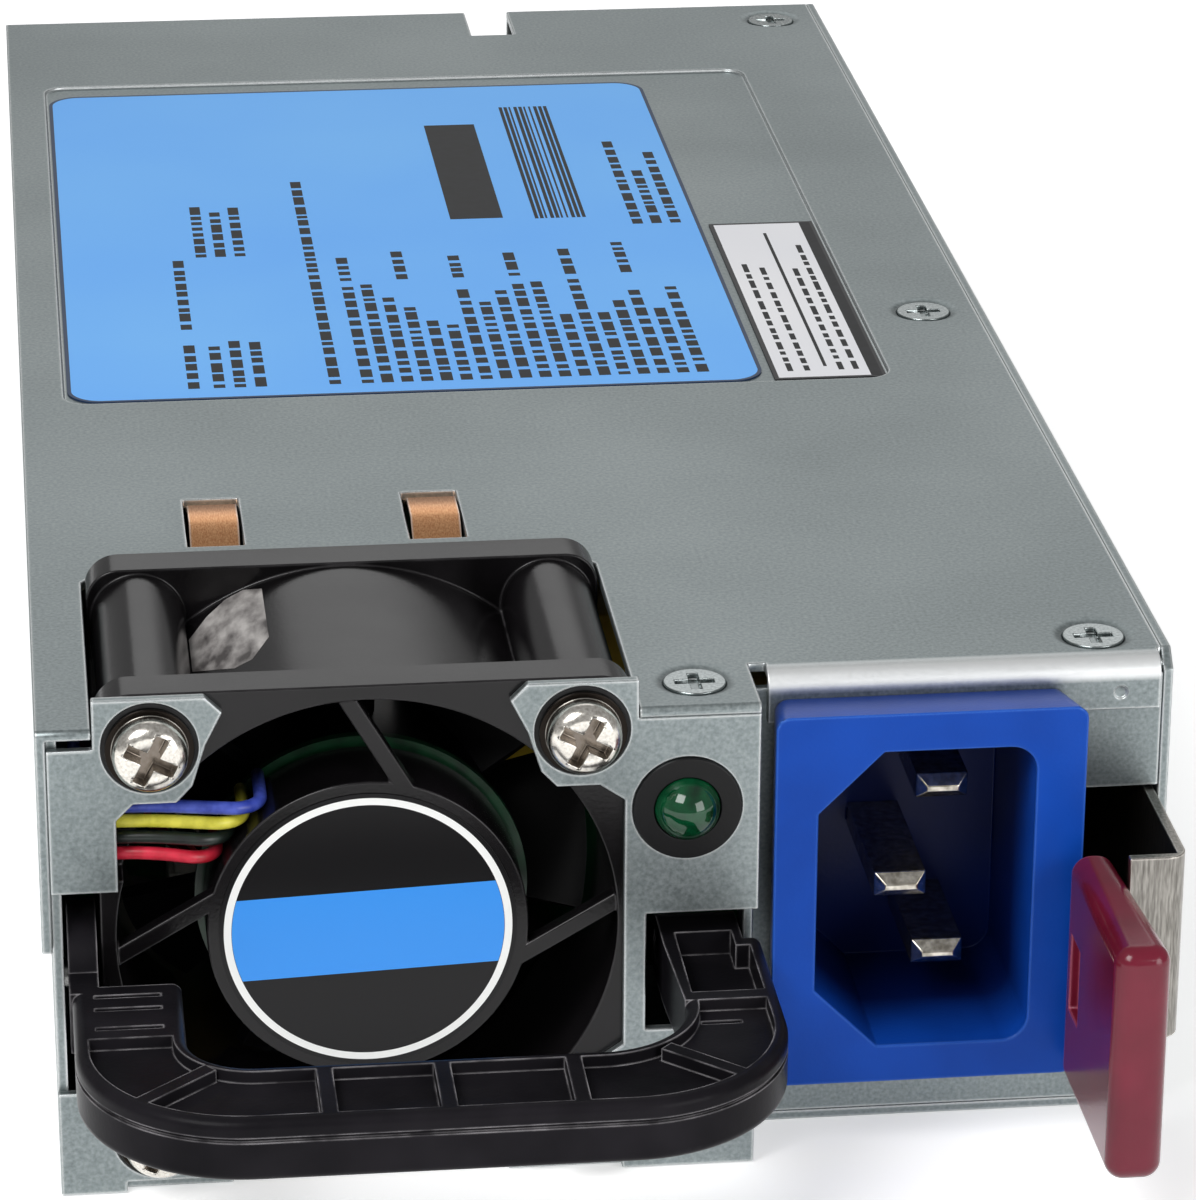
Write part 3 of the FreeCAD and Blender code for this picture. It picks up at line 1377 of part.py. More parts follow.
def filter_capacitor():
    return moulded(choke_x, filter_y, filter_width, filter_depth, filter_height)


def safety_capacitors():
    z = board_top + disc_r
    return [rod(disc_r, (choke_x + side * disc_reach - disc_thick / 2, choke_y, z),
                (choke_x + side * disc_reach + disc_thick / 2, choke_y, z)) for side in (-1, 1)]


def input_fuse():
    """Tube fuse lying in its two clips."""
    z = board_top + fuse_lift
    ends = [fuse_y - fuse_half_length, fuse_y + fuse_half_length]
    body = rod(fuse_r, (fuse_x, ends[0], z), (fuse_x, ends[1], z))
    return join([body] + [on_board(fuse_x, y, clip_width, clip_depth, fuse_lift) for y in ends])


def inrush_relay():
    return moulded(pfc_x, relay_y, relay_width, relay_depth, relay_height)


def bridge_rectifier():
    return moulded(rectifier_x, relay_y, rectifier_thick, rectifier_depth, rectifier_height)


# ---------------------------------------------------------------- bulk capacitor on its side
bulk_lift = 0.4
bulk_headroom = 2.4
bulk_side = 3.7             # chassis side to the can
bulk_rim = 1.0
bulk_rim_depth = 0.8
bulk_r = (room - bulk_lift - bulk_headroom) / 2
bulk_x = left_x + bulk_side + bulk_r
bulk_row = 27.0
bulk_y0 = board_y0 + bulk_row
bulk_back = 79.0
bulk_y1 = back_y - bulk_back
bulk_z = board_top + bulk_lift + bulk_r
saddle_width = 16.0
saddle_short = 9.0          # can's end to the saddle
saddle_height = 5.0


def bulk_capacitor():
    """Large can lying along the airflow, with a rolled rim at its front end."""
    y_rim = bulk_y0 + bulk_rim_depth
    rim = tube(bulk_r, bulk_r - bulk_rim, (bulk_x, bulk_y0, bulk_z), (bulk_x, y_rim, bulk_z))
    return join([rim, rod(bulk_r, (bulk_x, y_rim, bulk_z), (bulk_x, bulk_y1, bulk_z))])


def capacitor_saddle():
    """Moulded cradle that seats the lying can on the board."""
    length = bulk_y1 - bulk_y0 - 2 * saddle_short
    cradle = on_board(bulk_x, (bulk_y0 + bulk_y1) / 2, saddle_width, length, saddle_height)
    return cut(cradle, [rod(bulk_r, (bulk_x, bulk_y0, bulk_z), (bulk_x, bulk_y1, bulk_z))])


# ---------------------------------------------------------------- small supply and control board
aux_side = 40.0
aux_x = right_x - aux_side
aux_row = 35.0
aux_y = board_y0 + aux_row
aux_width = 13.0
aux_height = 14.0
control_thick = 1.6
control_gap = 0.5           # beside the bulk capacitor
control_x = bulk_x + bulk_r + control_gap + control_thick / 2
control_row = 59.0
control_y = board_y0 + control_row
control_length = 40.0
control_headroom = 7.2
control_height = room - control_headroom


def aux_transformer():
    return moulded(aux_x, aux_y, aux_width, aux_width, aux_height)


def control_board():
    return on_board(control_x, control_y, control_thick, control_length, control_height)


# ---------------------------------------------------------------- primary switches on their heatsink
heatsink_side = 3.2         # chassis side to the fins' tips
heatsink_web = 1.6
fin_reach = 4.4
fin_thick = 1.0
fin_count = 5
heatsink_x = right_x - heatsink_side - fin_reach
heatsink_gap = 1.0
heatsink_y0 = pfc_y + pfc_outer_r + wire_thick + heatsink_gap
heatsink_back = 37.0
heatsink_y1 = back_y - heatsink_back
heatsink_headroom = 3.2
heatsink_height = room - heatsink_headroom
package_width = 8.2
package_pitch = 8.8
package_thick = 4.0
package_height = 12.0
package_lift = 6.0
leg_width = 1.0
leg_thick = 0.8
leg_pitch = 2.6


def primary_heatsink():
    length = heatsink_y1 - heatsink_y0
    web = on_board(heatsink_x, (heatsink_y0 + heatsink_y1) / 2, heatsink_web, length, heatsink_height)
    fin_step = (heatsink_height - fin_thick) / (fin_count - 1)
    fins = [block(heatsink_x, heatsink_x + fin_reach, heatsink_y0, heatsink_y1, z, z + fin_thick)
            for z in spread(board_top, fin_step, fin_count)]
    return join([web] + fins)


def power_transistors():
    """Flat packages against the heatsink, each with three legs in the board."""
    x = heatsink_x - heatsink_web / 2 - package_thick / 2
    count = int((heatsink_y1 - heatsink_y0 - package_width) / package_pitch) + 1
    first_y = (heatsink_y0 + heatsink_y1 - package_pitch * (count - 1)) / 2
    packages = []
    for y in spread(first_y, package_pitch, count):
        case = on_board(x, y, package_thick, package_width, package_height, package_lift)
        legs = [on_board(x, y + leg_pitch * i, leg_thick, leg_width, package_lift) for i in (-1, 0, 1)]
        packages.append(join([case] + legs))
    return packages


# ---------------------------------------------------------------- main transformer and inductor
core_side = 33.2
core_x = right_x - core_side
core_back = 48.0
core_y = back_y - core_back
core_width = 30.0
core_depth = 14.0
core_headroom = 6.2
core_height = room - core_headroom
core_leg = 4.0
core_centre_r = 5.0
coil_r = 10.0
inductor_side = 22.0
inductor_x = left_x + inductor_side
inductor_back = 57.0
inductor_y = back_y - inductor_back
inductor_width = 20.0
inductor_depth = 18.0
inductor_height = 17.0


def transformer_core():
    outer = on_board(core_x, core_y, core_width, core_depth, core_height)
    window = on_board(core_x, core_y, core_width - 2 * core_leg, core_depth,
                      core_height - 2 * core_leg, core_leg)
    return join([outer.cut(window), can(core_x, core_y, core_centre_r, core_height)])


def transformer_coil():
    """Taped winding round the core's middle leg."""
    z0 = board_top + core_leg + slip_gap
    z1 = board_top + core_height - core_leg - slip_gap
    return tube(coil_r, core_centre_r + slip_gap, (core_x, core_y, z0), (core_x, core_y, z1))


def resonant_inductor():
    return moulded(inductor_x, inductor_y, inductor_width, inductor_depth, inductor_height)


# ---------------------------------------------------------------- output side
output_sink_side = 26.0
output_sink_x = left_x + output_sink_side
output_sink_back = 31.0
output_sink_y = back_y - output_sink_back
output_sink_width = 34.0
output_sink_depth = 12.0
output_sink_base = 3.0
output_sink_headroom = 9.2
output_sink_height = room - output_sink_headroom
output_fin_thick = 1.2
output_fin_count = 9
output_can_r = 3.9
output_can_height = 17.0
output_can_pitch = 9.0
output_can_count = 7
output_can_side = 14.0
output_can_x = left_x + output_can_side
output_can_backs = [18.0, 9.4]
output_can_ys = [back_y - back for back in output_can_backs]


def output_heatsink():
    base = on_board(output_sink_x, output_sink_y, output_sink_width, output_sink_depth, output_sink_base)
    step = (output_sink_width - output_fin_thick) / (output_fin_count - 1)
    first_x = output_sink_x - (output_sink_width - output_fin_thick) / 2
    fins = [on_board(x, output_sink_y, output_fin_thick, output_sink_depth, output_sink_height)
            for x in spread(first_x, step, output_fin_count)]
    return join([base] + fins)


def output_capacitors():
    xs = spread(output_can_x, output_can_pitch, output_can_count)
    return [can(x, y, output_can_r, output_can_height) for x, y in grid(xs, output_can_ys)]


# ---------------------------------------------------------------- write every piece
pieces = {
    "base_chassis": base_chassis(),
    "front_panel": front_panel(),
    "inlet_panel": inlet_panel(),
    "rear_panel": rear_panel(),
    "panel_rivets": panel_rivets(),
    "top_cover": top_cover(),
    "cover_screws": cover_screws(),
    "grounding_finger_left": grounding_finger(finger_centres[0]),
    "grounding_finger_right": grounding_finger(finger_centres[1]),
    "fan_frame": fan_frame(),
    "fan_label": fan_label(),
    "fan_motor_board": fan_motor_board(),
    "fan_bearing": fan_bearing(),
    "fan_stator": fan_stator(),
    "fan_rotor": fan_rotor(),
    "fan_magnet": fan_magnet(),
    "fan_shaft": fan_shaft(),
    "fan_screws": fan_screws(),
    "fan_grommets": fan_grommets(),
    "fan_plug": fan_plug(),
    "fan_header": fan_header(),
    "handle": handle(),
    "handle_pins": handle_pins(),
    "latch_strap": latch_strap(),
    "latch_rivets": latch_rivets(),
    "release_tab": release_tab(),
    "inlet_body": inlet_body(),
    "inlet_pins": inlet_pins(),
    "led_lens": led_lens(),
    "led_holder": led_holder(),
    "led_board": led_board(),
    "rating_label": rating_label(),
    "serial_label": serial_label(),
    "main_board": main_board(),
    "edge_contacts": edge_contacts(),
    "insulation_sheet": insulation_sheet(),
    "board_standoffs": board_standoffs(),
    "board_screws": board_screws(),
    "emi_choke_core": emi_choke_core(),
    "emi_choke_winding": emi_choke_winding(),
    "filter_capacitor": filter_capacitor(),
    "safety_capacitors": safety_capacitors(),
    "input_fuse": input_fuse(),
    "inrush_relay": inrush_relay(),
    "bridge_rectifier": bridge_rectifier(),
    "pfc_choke_core": pfc_choke_core(),
    "pfc_choke_winding": pfc_choke_winding(),
    "bulk_capacitor": bulk_capacitor(),
    "capacitor_saddle": capacitor_saddle(),
    "primary_heatsink": primary_heatsink(),
    "power_transistors": power_transistors(),
    "aux_transformer": aux_transformer(),
    "control_board": control_board(),
    "transformer_core": transformer_core(),
    "transformer_coil": transformer_coil(),
    "resonant_inductor": resonant_inductor(),
    "output_heatsink": output_heatsink(),
    "output_capacitors": output_capacitors(),
}
fan_leads = [fan_lead(i) for i in range(len(lead_mid_z))]
pieces["fan_leads"] = fan_leads
pieces["mains_leads"] = [mains_lead(i) for i in range(len(mains_pad_xs))]

for name, shape in pieces.items():
    save(name, shape)
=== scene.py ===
import math
import random

import bmesh
import bpy
from mathutils import Euler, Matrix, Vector


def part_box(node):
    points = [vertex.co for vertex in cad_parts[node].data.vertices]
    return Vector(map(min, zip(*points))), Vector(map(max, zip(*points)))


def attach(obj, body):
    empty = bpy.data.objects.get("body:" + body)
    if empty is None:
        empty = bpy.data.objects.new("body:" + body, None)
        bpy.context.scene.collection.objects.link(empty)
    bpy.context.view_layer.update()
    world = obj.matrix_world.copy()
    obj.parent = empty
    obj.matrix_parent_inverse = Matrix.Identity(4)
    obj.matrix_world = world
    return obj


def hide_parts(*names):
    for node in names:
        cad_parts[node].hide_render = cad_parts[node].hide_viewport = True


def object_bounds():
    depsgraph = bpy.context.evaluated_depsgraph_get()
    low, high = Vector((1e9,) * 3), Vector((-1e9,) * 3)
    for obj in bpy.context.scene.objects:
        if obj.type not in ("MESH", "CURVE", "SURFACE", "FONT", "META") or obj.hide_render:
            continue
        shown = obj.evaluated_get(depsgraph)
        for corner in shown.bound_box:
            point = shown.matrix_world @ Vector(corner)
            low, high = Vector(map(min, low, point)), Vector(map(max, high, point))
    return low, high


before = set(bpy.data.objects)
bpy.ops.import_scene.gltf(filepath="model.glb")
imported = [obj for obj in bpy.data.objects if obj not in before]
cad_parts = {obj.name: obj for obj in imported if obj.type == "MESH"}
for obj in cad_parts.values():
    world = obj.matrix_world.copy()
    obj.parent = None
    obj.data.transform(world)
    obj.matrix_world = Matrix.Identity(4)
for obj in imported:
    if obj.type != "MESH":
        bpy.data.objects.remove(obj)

cad_box = [list(corner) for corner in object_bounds()]
MM = 0.001


# ---------------------------------------------------------------- Folded steel case
# Base, front and rear panels and the cover are bent from zinc-coated sheet, 0.8 mm thick. The
# coating gives a dull grey with a fine crystal grain, and the cut edges get a painted highlight.
def hex_rgb(code):
    """Turns an sRGB hex colour into the linear one that a shader takes."""
    parts = [int(code[i:i + 2], 16) / 255 for i in (1, 3, 5)]
    return [p / 12.92 if p <= 0.04045 else ((p + 0.055) / 1.055) ** 2.4 for p in parts] + [1.0]


def add(tree, kind, sockets=None, stops=(), **settings):
    """Adds a node. A socket takes a value or another node's output, and stops fill a colour ramp."""
    made = tree.nodes.new(kind)
    for key, value in settings.items():
        setattr(made, key, value)
    for name, value in (sockets or {}).items():
        if isinstance(value, bpy.types.NodeSocket):
            tree.links.new(value, made.inputs[name])
        else:
            made.inputs[name].default_value = value
    for i, (place, code) in enumerate(stops):
        point = made.color_ramp.elements[i] if i < 2 else made.color_ramp.elements.new(place)
        point.position = place
        point.color = hex_rgb(code)
    return made


def new_finish(name):
    """An empty material and its node tree."""
    material = bpy.data.materials.new(name)
    material.use_nodes = True
    material.node_tree.nodes.clear()
    return material, material.node_tree


def grain(tree, size_mm, detail=3.0, stretch=(1, 1, 1)):
    """Noise from 0 to 1 whose blotches are about size_mm across, stretched along chosen axes."""
    place = add(tree, "ShaderNodeTexCoord").outputs["Object"]
    scaled = add(tree, "ShaderNodeMapping", {"Vector": place, "Scale": stretch}).outputs["Vector"]
    return add(tree, "ShaderNodeTexNoise", {
        "Vector": scaled, "Scale": 1 / (size_mm * MM), "Detail": detail}).outputs["Fac"]


def edge_share(tree, reach_mm):
    """1 on edges within reach, 0 on flats: how far the rounded normal leaves the true one."""
    flat = add(tree, "ShaderNodeNewGeometry").outputs["Normal"]
    soft = add(tree, "ShaderNodeBevel", {"Radius": reach_mm * MM}, samples=6).outputs["Normal"]
    dot = add(tree, "ShaderNodeVectorMath", {0: flat, 1: soft}, operation="DOT_PRODUCT").outputs["Value"]
    return add(tree, "ShaderNodeMapRange", {
        "Value": dot, "From Min": 0.99, "From Max": 0.85}).outputs["Result"]


def share_along(tree, axis, start, end):
    """0 at one place along an axis of the part and 1 at another, both in metres."""
    place = add(tree, "ShaderNodeTexCoord").outputs["Object"]
    along = add(tree, "ShaderNodeSeparateXYZ", {"Vector": place}).outputs[axis]
    return add(tree, "ShaderNodeMapRange", {
        "Value": along, "From Min": start, "From Max": end}).outputs["Result"]


def galvanised_steel(name, bend_box=None):
    # Zinc-coated sheet, passivated: four parts metal to one part dull film, roughness 0.3 to
    # 0.45. Its crystals of about 0.3 mm give a fine grey grain. Edges get a painted highlight, as
    # does a bend, given by its left, front and top.
    material, tree = new_finish(name)
    crystals = grain(tree, 0.3, 2.0)
    stains = grain(tree, 25.0, 3.0)
    mixed = add(tree, "ShaderNodeMix", {"Factor": 0.35, "A": crystals, "B": stains}).outputs[0]
    colour = add(tree, "ShaderNodeValToRGB", {"Fac": mixed},
                 stops=[(0.3, "#727B7C"), (0.5, "#889192"), (0.7, "#9BA3A4")]).outputs["Color"]
    # Painted highlight: near-white on edges and, when a box is given, on the bend.
    bright = edge_share(tree, 0.45)
    if bend_box:
        left, front, top = bend_box
        beside = share_along(tree, "X", left, left + 0.2 * MM)
        ahead = share_along(tree, "Y", front + 1.8 * MM, front + 0.9 * MM)
        above = share_along(tree, "Z", top - 1.9 * MM, top - 1.3 * MM)
        along = add(tree, "ShaderNodeMath", {0: beside, 1: ahead}, operation="MULTIPLY").outputs["Value"]
        bend = add(tree, "ShaderNodeMath", {0: along, 1: above}, operation="MULTIPLY").outputs["Value"]
        bright = add(tree, "ShaderNodeMath", {0: bright, 1: bend}, operation="MAXIMUM").outputs["Value"]
    edge_highlit = add(tree, "ShaderNodeMix", {"Factor": bright, "A": colour, "B": hex_rgb("#F4F6F6")},
               data_type="RGBA").outputs[2]
    rough = add(tree, "ShaderNodeMapRange", {
        "Value": crystals, "To Min": 0.3, "To Max": 0.45}).outputs["Result"]
    facets = add(tree, "ShaderNodeBump", {
        "Height": crystals, "Distance": 0.006 * MM, "Strength": 0.5}).outputs["Normal"]
    shader = add(tree, "ShaderNodeBsdfPrincipled", {
        "Base Color": edge_highlit, "Metallic": 0.8, "Roughness": rough, "Normal": facets})
    add(tree, "ShaderNodeOutputMaterial", {"Surface": shader.outputs[0]})
    return material


def dress(name, material, edge_mm=0.0):
    """Gives a CAD node its finish and, where edge_mm is set, slightly broken edges."""
    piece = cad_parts[name]
    piece.data.materials.clear()
    piece.data.materials.append(material)
    if edge_mm:
        weld = piece.modifiers.new("weld", "WELD")
        weld.merge_threshold = 0.002 * MM
        flatten = piece.modifiers.new("flatten", "DECIMATE")
        flatten.decimate_type = "DISSOLVE"
        flatten.angle_limit = math.radians(0.5)
        edge = piece.modifiers.new("edge", "BEVEL")
        edge.width = edge_mm * MM
        edge.segments = 2
        edge.limit_method = "ANGLE"
        edge.angle_limit = math.radians(40)
        edge.use_clamp_overlap = False
        piece.modifiers.new("even", "WEIGHTED_NORMAL")


zinc = galvanised_steel("galvanised_steel")
sheet_edge = 0.12
for name in ("base_chassis", "front_panel", "inlet_panel", "rear_panel"):
    dress(name, zinc, sheet_edge)
# The cover's lip over the inlet is a tight bend, which gets a painted highlight.
sheet = 0.8 * MM
lip_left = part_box("front_panel")[1].x
lip_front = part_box("inlet_panel")[0].y - sheet
cover_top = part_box("top_cover")[1].z
zinc_lip_highlight = galvanised_steel("galvanised_steel_lip_highlight", (lip_left, lip_front, cover_top))
dress("top_cover", zinc_lip_highlight, sheet_edge)


# ---------------------------------------------------------------- Screws and rivets
# Steel, nickel-plated and tumbled bright. The pan heads clamp the fan and the flush ones the
# cover; the rivets are set from below.
def plated_screw(name, plate, recess_shade, axis, face, depth_mm, heads=None):
    # Tumbled plating: metallic, roughness 0.15 to 0.3, with painted shade that deepens from the
    # head's face down into the cross. Heads tells where four of them stand: the painted shade then
    # keeps to their crosses, and the washers under them get painted shade too.
    material, tree = new_finish(name)
    marks = grain(tree, 0.25, 3.0)
    plating = add(tree, "ShaderNodeValToRGB", {"Fac": marks},
                  stops=[(0.3, plate[0]), (0.7, plate[1])]).outputs["Color"]
    depth = share_along(tree, axis, face, face + depth_mm * MM)
    if heads:
        middle, half_pitch, cross_reach, washer_face = heads
        place = add(tree, "ShaderNodeTexCoord").outputs["Object"]
        local = add(tree, "ShaderNodeVectorMath", {0: place, 1: middle},
                    operation="SUBTRACT").outputs["Vector"]
        away = add(tree, "ShaderNodeVectorMath", {0: local}, operation="ABSOLUTE").outputs["Vector"]
        off = add(tree, "ShaderNodeVectorMath", {0: away, 1: half_pitch},
                  operation="SUBTRACT").outputs["Vector"]
        flat = add(tree, "ShaderNodeVectorMath", {0: off, 1: (1, 0, 1)},
                   operation="MULTIPLY").outputs["Vector"]
        reach = add(tree, "ShaderNodeVectorMath", {0: flat}, operation="LENGTH").outputs["Value"]
        within = add(tree, "ShaderNodeMapRange", {
            "Value": reach, "From Min": cross_reach, "From Max": cross_reach - 0.2 * MM}).outputs["Result"]
        depth = add(tree, "ShaderNodeMath", {0: depth, 1: within}, operation="MULTIPLY").outputs["Value"]
        # Painted shade: the washers under the heads are darkened.
        washer = share_along(tree, axis, washer_face, washer_face + 0.05 * MM)
        plating = add(tree, "ShaderNodeMix", {"Factor": washer, "A": plating, "B": hex_rgb("#24201D")},
                      data_type="RGBA").outputs[2]
    # Painted shade: darker with depth into the recess.
    recess_shaded = add(tree, "ShaderNodeMix", {"Factor": depth, "A": plating, "B": hex_rgb(recess_shade)},
                  data_type="RGBA").outputs[2]
    rough = add(tree, "ShaderNodeMapRange", {"Value": marks, "To Min": 0.15, "To Max": 0.3}).outputs["Result"]
    shader = add(tree, "ShaderNodeBsdfPrincipled", {
        "Base Color": recess_shaded, "Metallic": 1.0, "Roughness": rough})
    add(tree, "ShaderNodeOutputMaterial", {"Surface": shader.outputs[0]})
    return material


nickel = ("#C9C4BB", "#F0ECE4")
pan_low, pan_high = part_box("fan_screws")
washer_radius = 3.3 * MM
pan_middle = (pan_low + pan_high) / 2
pan_half_pitch = (pan_high - pan_low) / 2 - Vector((washer_radius, 0, washer_radius))
pan_face = pan_low.y + 0.4 * MM
pan_cross = 2.3 * MM
pan_washer = pan_low.y + 1.95 * MM
# The third argument of each call is the colour of the painted shade in the recesses.
pan_plate = plated_screw("nickel_plate", nickel, "#54463A", "Y", pan_face, 1.2,
                         (pan_middle, pan_half_pitch, pan_cross, pan_washer))
dress("fan_screws", pan_plate, 0.08)
zinc_tones = ("#8F9797", "#B4BABA")
flush_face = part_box("cover_screws")[1].z - 0.05 * MM
dress("cover_screws", plated_screw("zinc_plate", zinc_tones, "#7A8282", "Z", flush_face, -0.7), 0.08)
inside_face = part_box("board_screws")[1].z
inside_plate = plated_screw("nickel_plate_inside", nickel, "#3A2E26", "Z", inside_face, -2.0)
for name in ("panel_rivets", "board_screws", "latch_rivets"):
    dress(name, inside_plate, 0.1)


# ---------------------------------------------------------------- Grounding fingers
# Two leaves of beryllium copper, stamped and bent, tucked under the cover behind their windows.
# They press on the bay's roof and so earth the case.
def rolled_strip(name, dark, light, roughness, size_mm, stretch):
    # Cold-rolled strip: metallic, with fine lines from the rolls, drawn about half a millimetre
    # apart, which is coarser than they are, so that they show.
    material, tree = new_finish(name)
    lines = grain(tree, size_mm, 2.0, stretch)
    colour = add(tree, "ShaderNodeValToRGB", {"Fac": lines},
                 stops=[(0.3, dark), (0.7, light)]).outputs["Color"]
    # Painted highlight: edges mixed towards near-white.
    edge_highlit = add(tree, "ShaderNodeMix", {"Factor": edge_share(tree, 0.3), "A": colour, "B": hex_rgb("#FBF3EA")},
               data_type="RGBA").outputs[2]
    relief = add(tree, "ShaderNodeBump", {"Height": lines, "Distance": 0.01 * MM}).outputs["Normal"]
    shader = add(tree, "ShaderNodeBsdfPrincipled", {
        "Base Color": edge_highlit, "Metallic": 1.0, "Roughness": roughness, "Normal": relief})
    add(tree, "ShaderNodeOutputMaterial", {"Surface": shader.outputs[0]})
    return material


copper = rolled_strip("beryllium_copper", "#C6865A", "#EAB686", 0.3, 0.6, (6, 1, 6))
for name in ("grounding_finger_left", "grounding_finger_right"):
    dress(name, copper, 0.05)


# ---------------------------------------------------------------- Fan
# A 40 mm axial fan: glass-filled PBT shell and seven-bladed wheel, satin black, with the motor
# on a round seat in the front mouth.
def moulded_black(name, tones, edge_highlight_tone, roughness, gloss, texture_mm):
    """Black thermoplastic from a spark-eroded mould; its edges carry a painted pale highlight, broken up in
    places.
    """
    material, tree = new_finish(name)
    cloud = grain(tree, 9.0)
    body = add(tree, "ShaderNodeValToRGB", {"Fac": cloud}, stops=[(0.35, tones[0]), (0.75, tones[1])])
    # Painted highlight on edges, broken up by noise.
    highlight_breakup = add(tree, "ShaderNodeMapRange", {"Value": grain(tree, 2.5), "From Min": 0.35, "From Max": 0.65,
                                           "To Min": 0.15}).outputs["Result"]
    painted_edge_highlight = add(tree, "ShaderNodeMath", {0: edge_share(tree, 0.25), 1: highlight_breakup},
                      operation="MULTIPLY").outputs["Value"]
    colour = add(tree, "ShaderNodeMix", {"Factor": painted_edge_highlight, "A": body.outputs["Color"],
                                         "B": hex_rgb(edge_highlight_tone)}, data_type="RGBA").outputs[2]
    rough = add(tree, "ShaderNodeMapRange", {"Value": cloud, "To Min": roughness - 0.06,
                                             "To Max": roughness + 0.08}).outputs["Result"]
    skin = add(tree, "ShaderNodeBump", {
        "Height": grain(tree, texture_mm), "Distance": 0.015 * MM, "Strength": 0.6}).outputs["Normal"]
    shader = add(tree, "ShaderNodeBsdfPrincipled", {
        "Base Color": colour, "Roughness": rough, "IOR": 1.5, "Specular IOR Level": gloss, "Normal": skin})
    add(tree, "ShaderNodeOutputMaterial", {"Surface": shader.outputs[0]})
    return material


# Glass-filled PBT: the fibres at the skin scatter light, so less of it is mirrored.
dress("fan_frame", moulded_black("black_pbt", ("#0A090A", "#151315"), "#6A676A", 0.21, 0.34, 0.3), 0.15)
# The wheel gets darker tones than the frame: painted shade inside the fan's duct.
dress("fan_rotor", moulded_black("black_pbt_wheel_painted_shade", ("#050506", "#0C0B0D"), "#1E1D1F", 0.35, 0.2, 0.3))


# ---------------------------------------------------------------- Sticker torn off the fan
# What is left of a paper seal on the fan's round duct: a ragged, creased scrap that still holds
# by its glue.
fan_low, fan_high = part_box("fan_frame")
duct_x = (fan_low.x + fan_high.x) / 2
duct_z = (fan_low.z + fan_high.z) / 2
duct_inset = 0.3 * MM       # frame's side to the duct
duct_radius = (fan_high.x - fan_low.x) / 2 - duct_inset
scrap_lift = 0.03 * MM
scrap_thickness = 0.05 * MM
# Across the duct from its middle, then the scrap's near and far end behind the fan's front.
scrap_cuts = [(-12.2, 14.4, 20.7), (-10.7, 12.1, 22.7), (-9.2, 10.2, 23.9), (-7.8, 10.3, 24.1),
              (-6.4, 13.2, 22.9)]
points = []
for across, near, far in scrap_cuts:
    rise = math.sqrt((duct_radius + scrap_lift) ** 2 - (across * MM) ** 2)
    points += [(duct_x + across * MM, fan_low.y + y * MM, duct_z + rise) for y in (near, far)]
quads = [(i, i + 2, i + 3, i + 1) for i in range(0, len(points) - 2, 2)]
scrap_mesh = bpy.data.meshes.new("fan_seal_scrap")
scrap_mesh.from_pydata(points, [], quads)
scrap = bpy.data.objects.new("fan_seal_scrap", scrap_mesh)
bpy.context.scene.collection.objects.link(scrap)
scrap.modifiers.new("thickness", "SOLIDIFY").thickness = scrap_thickness


def torn_paper():
    # Coated paper, roughness 0.5, creased about every 2 mm, with its white face half gone.
    material, tree = new_finish("torn_paper")
    creases = grain(tree, 1.6, 4.0, (1, 0.5, 1))
    colour = add(tree, "ShaderNodeValToRGB", {"Fac": creases},
                 stops=[(0.35, "#4A4645"), (0.5, "#8A8684"), (0.68, "#BDB9B6")]).outputs["Color"]
    relief = add(tree, "ShaderNodeBump", {"Height": creases, "Distance": 0.1 * MM}).outputs["Normal"]
    shader = add(tree, "ShaderNodeBsdfPrincipled", {
        "Base Color": colour, "Roughness": 0.5, "Normal": relief})
    add(tree, "ShaderNodeOutputMaterial", {"Surface": shader.outputs[0]})
    return material


scrap_mesh.materials.append(torn_paper())
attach(scrap, "housing")


